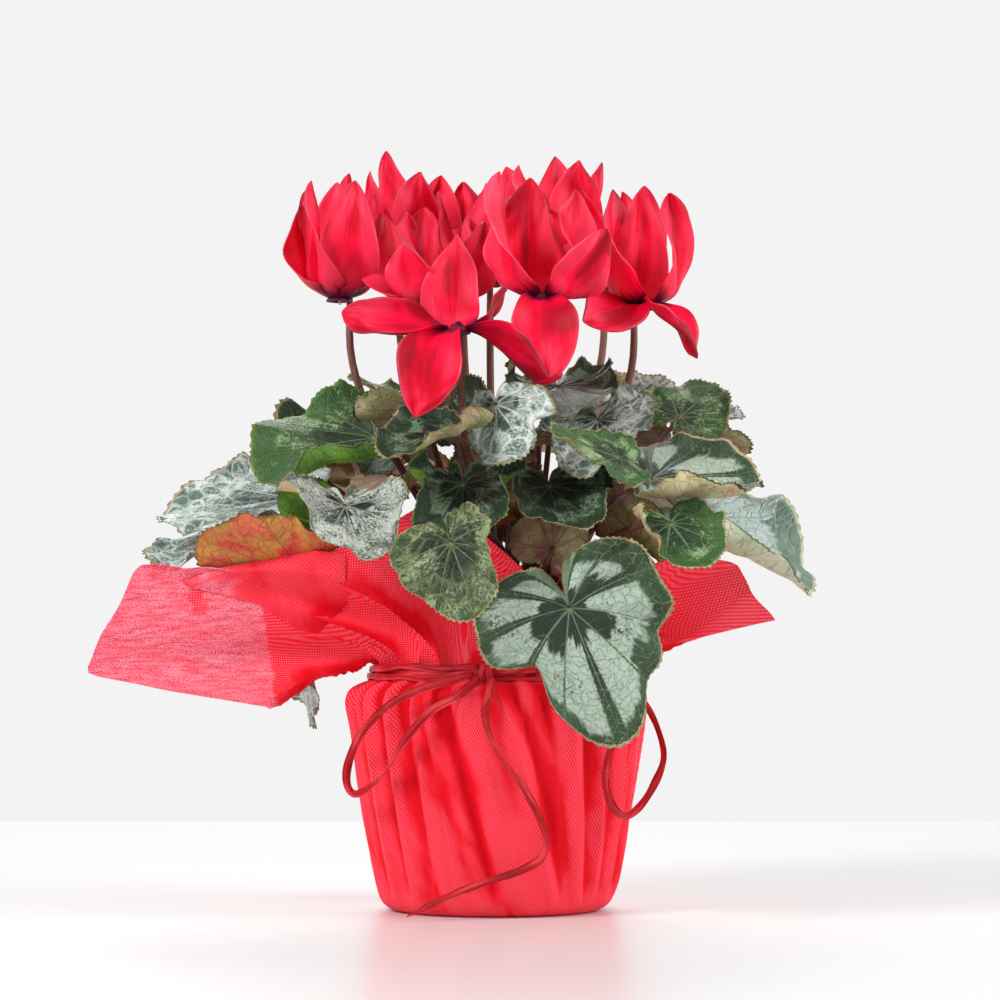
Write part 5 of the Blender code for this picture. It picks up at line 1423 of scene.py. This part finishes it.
CORM_RADIUS = 27.0
CORM_HEIGHT = 22.0
CORM_MIDDLE = 98.0
STALK_RADIUS = 1.6
STALK_SIDES = 4
STALK_STEPS = 4
STALK_ROOT = (6.0, 0.15, 20.0)
STALK_ROOT_DEPTH = 7.0
STALK_RISE = (0.12, 0.55)
STALK_ARRIVAL = (0.22, 0.14)
STALK_BOWED = (0.3, 0.6)
STALK_SEATS = 12
STALK_SEAT_STEP = 0.35
STALK_BOWS = (
    (0, 1.0), (12, 1.0), (-12, 1.0), (0, 0.75), (0, 1.3), (24, 1.0), (-24, 1.0),
    (12, 1.3), (-12, 1.3), (24, 0.75), (-24, 0.75),
)
FLOWER_STEM_ROOT = 7.0
COARSE_LEAF_THICKNESS = 0.8
STALK_TUCK = 0.3  # how far a fine stalk reaches into its blade
FINE_STALK_STEPS = 18
FINE_STALK_RADII = (1.75, 1.25)
FINE_STEM_STEPS = 22
FINE_STEM_RADII = (2.1, FLOWER_STEM_RADIUS)


def stalk_path(leaf, gap, bow, steps):
    """From the corm up and out in an arch, to the underside of the blade at its stalk point."""
    sideways, lift = bow
    attach = np.array(leaf.attach, float)
    along, up = leaf_axes(leaf)
    out = unit((attach[0], attach[1], 0))
    aside = np.cross((0, 0, 1), out) * sideways
    ring = min(STALK_ROOT[2], STALK_ROOT[0] + STALK_ROOT[1] * math.hypot(attach[0], attach[1]))
    root = ring * out + STALK_BOWED[0] * aside + (0, 0, CORM_MIDDLE + CORM_HEIGHT / 2 - STALK_ROOT_DEPTH)
    reach = np.linalg.norm(attach - root)
    end = attach - (COARSE_LEAF_THICKNESS / 2 + gap) * up
    rise = root + STALK_RISE[0] * reach * out + aside + (0, 0, STALK_RISE[1] * lift * reach)
    arrive = end + STALK_BOWED[1] * aside - STALK_ARRIVAL[0] * reach * along
    arrive = arrive - STALK_ARRIVAL[1] * lift * reach * up
    return bezier(root, rise, arrive, end, steps)


def flower_stem_path(bloom, steps):
    top = neck_start(bloom)
    out = unit((top[0], top[1], 0))
    root = FLOWER_STEM_ROOT * out + (0, 0, CORM_MIDDLE + CORM_HEIGHT / 2 - STALK_ROOT_DEPTH)
    reach = np.linalg.norm(top - root)
    return bezier(root, root + (0, 0, 0.45 * reach), top - (0, 0, 0.3 * reach), top, steps)


def nearest_bow(leaf, found):
    """(miss, bow) of the bow whose packed stalk lies nearest, among all that the source may have taken."""
    best = (1e9, None)
    for bow in STALK_BOWS:
        for seat in range(STALK_SEATS):
            path = stalk_path(leaf, STALK_SEAT_STEP * seat, bow, STALK_STEPS)
            ring = tube(path, STALK_RADIUS, STALK_SIDES)[0][2 * STALK_SIDES:4 * STALK_SIDES]
            best = min(best, (float(np.mean([found.find(point)[2] for point in ring])), bow))
    return best


def dress_stalks():
    """Each stalk takes the bow that its packed one has, found from the crown node's own points."""
    spots = [tuple(vertex.co / MM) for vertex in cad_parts["crown"].data.vertices]
    found = KDTree(len(spots))
    for index, spot in enumerate(spots):
        found.insert(spot, index)
    found.balance()
    bows = [nearest_bow(leaf, found) for leaf in PLACED_LEAVES]
    print("stalks fit within", round(max(miss for miss, _ in bows), 3), "mm")
    stalk_radii = np.linspace(*FINE_STALK_RADII, FINE_STALK_STEPS + 1)
    stem_radii = np.linspace(*FINE_STEM_RADII, FINE_STEM_STEPS + 1)
    stalks = [tube(stalk_path(leaf, -STALK_TUCK, bow, FINE_STALK_STEPS), stalk_radii, 10)
              for leaf, (_, bow) in zip(PLACED_LEAVES, bows)]
    stems = [tube(flower_stem_path(bloom, FINE_STEM_STEPS), stem_radii, 12) for bloom in PLACED_BLOOMS]
    for name, shapes in (("leaf_stalks", stalks), ("flower_stems", stems)):
        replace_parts(add_piece(name, merged(shapes), STEM), "crown")


def dress_corm():
    """A round tuber with a wrinkled skin."""
    angles = [math.pi * i / 20 for i in range(21)]
    points, faces = turned([(CORM_RADIUS * math.sin(angle), CORM_MIDDLE - CORM_HEIGHT / 2 * math.cos(angle))
                            for angle in angles], 64)
    x, y, z = points.T
    turn = np.arctan2(y, x)
    swell = 0.4 * np.sin(9 * turn + 0.2 * z) + 0.3 * np.sin(23 * turn) + 0.3 * np.sin(1.7 * z)
    wrinkled = 1 - 0.012 * np.clip(1 + swell, 0, 2) * (np.hypot(x, y) > 1)
    skin = plain_material("corm", (62, 42, 30), (128, 96, 66), (260.0, 4.0, 0.7), (0.7, 0.9), 0.0012)
    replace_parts(add_piece("corm", (points * wrinkled[:, None] + (0, 0, 1.0), faces), skin), "crown")


dress_stalks()
dress_corm()

# Soil and pot

SOIL_TOP = 99.0
CLUMPS = 420
CRUMBS = 370  # of the clumps; the rest are perlite
CLUMP_SEED = 5
CLUMP_SIDES = 7
CLUMP_STEPS = 5
CLUMP_SIZES = (0.9, 2.6)
CLUMP_FLATTENED = 0.7
CLUMP_JITTER = (0.7, 1.25)
CORM_CLEAR = 29.5
CLUMP_SPREAD = 27.0
CLUMP_LIFT = 1.7
RIM_DROP = 4.6  # of the clumps by the pot's wall


def dress_node(name, material):
    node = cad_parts[name]
    node.data.materials.clear()
    node.data.materials.append(material)


def dress_soil():
    """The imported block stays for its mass, under a crumbly top with loose clumps and bits of perlite."""
    rng = np.random.default_rng(CLUMP_SEED)
    earth = plain_material("soil", (30, 20, 14), (92, 66, 46), (420.0, 5.0, 0.75), (0.85, 1.0), 0.0014)
    pale = plain_material("perlite", (196, 188, 174), (232, 228, 220), (700.0,), (0.8, 0.95))
    dress_node("soil", earth)
    clumps = []
    for _ in range(CLUMPS):
        azimuth, reach = rng.uniform(0, 360), CORM_CLEAR + CLUMP_SPREAD * math.sqrt(rng.uniform(0, 1))
        size = rng.uniform(*CLUMP_SIZES)
        angles = [math.pi * i / CLUMP_STEPS for i in range(CLUMP_STEPS + 1)]
        profile = [(size * math.sin(angle), -size * CLUMP_FLATTENED * math.cos(angle)) for angle in angles]
        points, faces = turned(profile, CLUMP_SIDES)
        points = points * rng.uniform(*CLUMP_JITTER, points.shape) + reach * direction(azimuth)
        lift = SOIL_TOP + CLUMP_LIFT - RIM_DROP * smoothstep(reach, 52.0, 57.0)
        clumps.append((points + (0, 0, lift), faces))
    add_piece("soil_crumbs", merged(clumps[:CRUMBS]), earth)
    add_piece("perlite", merged(clumps[CRUMBS:]), pale)


def pot_material():
    shader = Shader("pot plastic", Specular_IOR_Level=0.5)
    speck = shader.noise(shader.place(), 900.0)
    shader.colour(shader.mix(shader.noise(shader.place(), 30.0, 3.0), (118, 62, 44), (136, 74, 54)))
    shader.roughness(speck.smooth(0.3, 0.7, 0.42, 0.56))
    shader.bump(speck, 0.0002, 0.5)
    return shader.material


dress_soil()
dress_node("pot", pot_material())
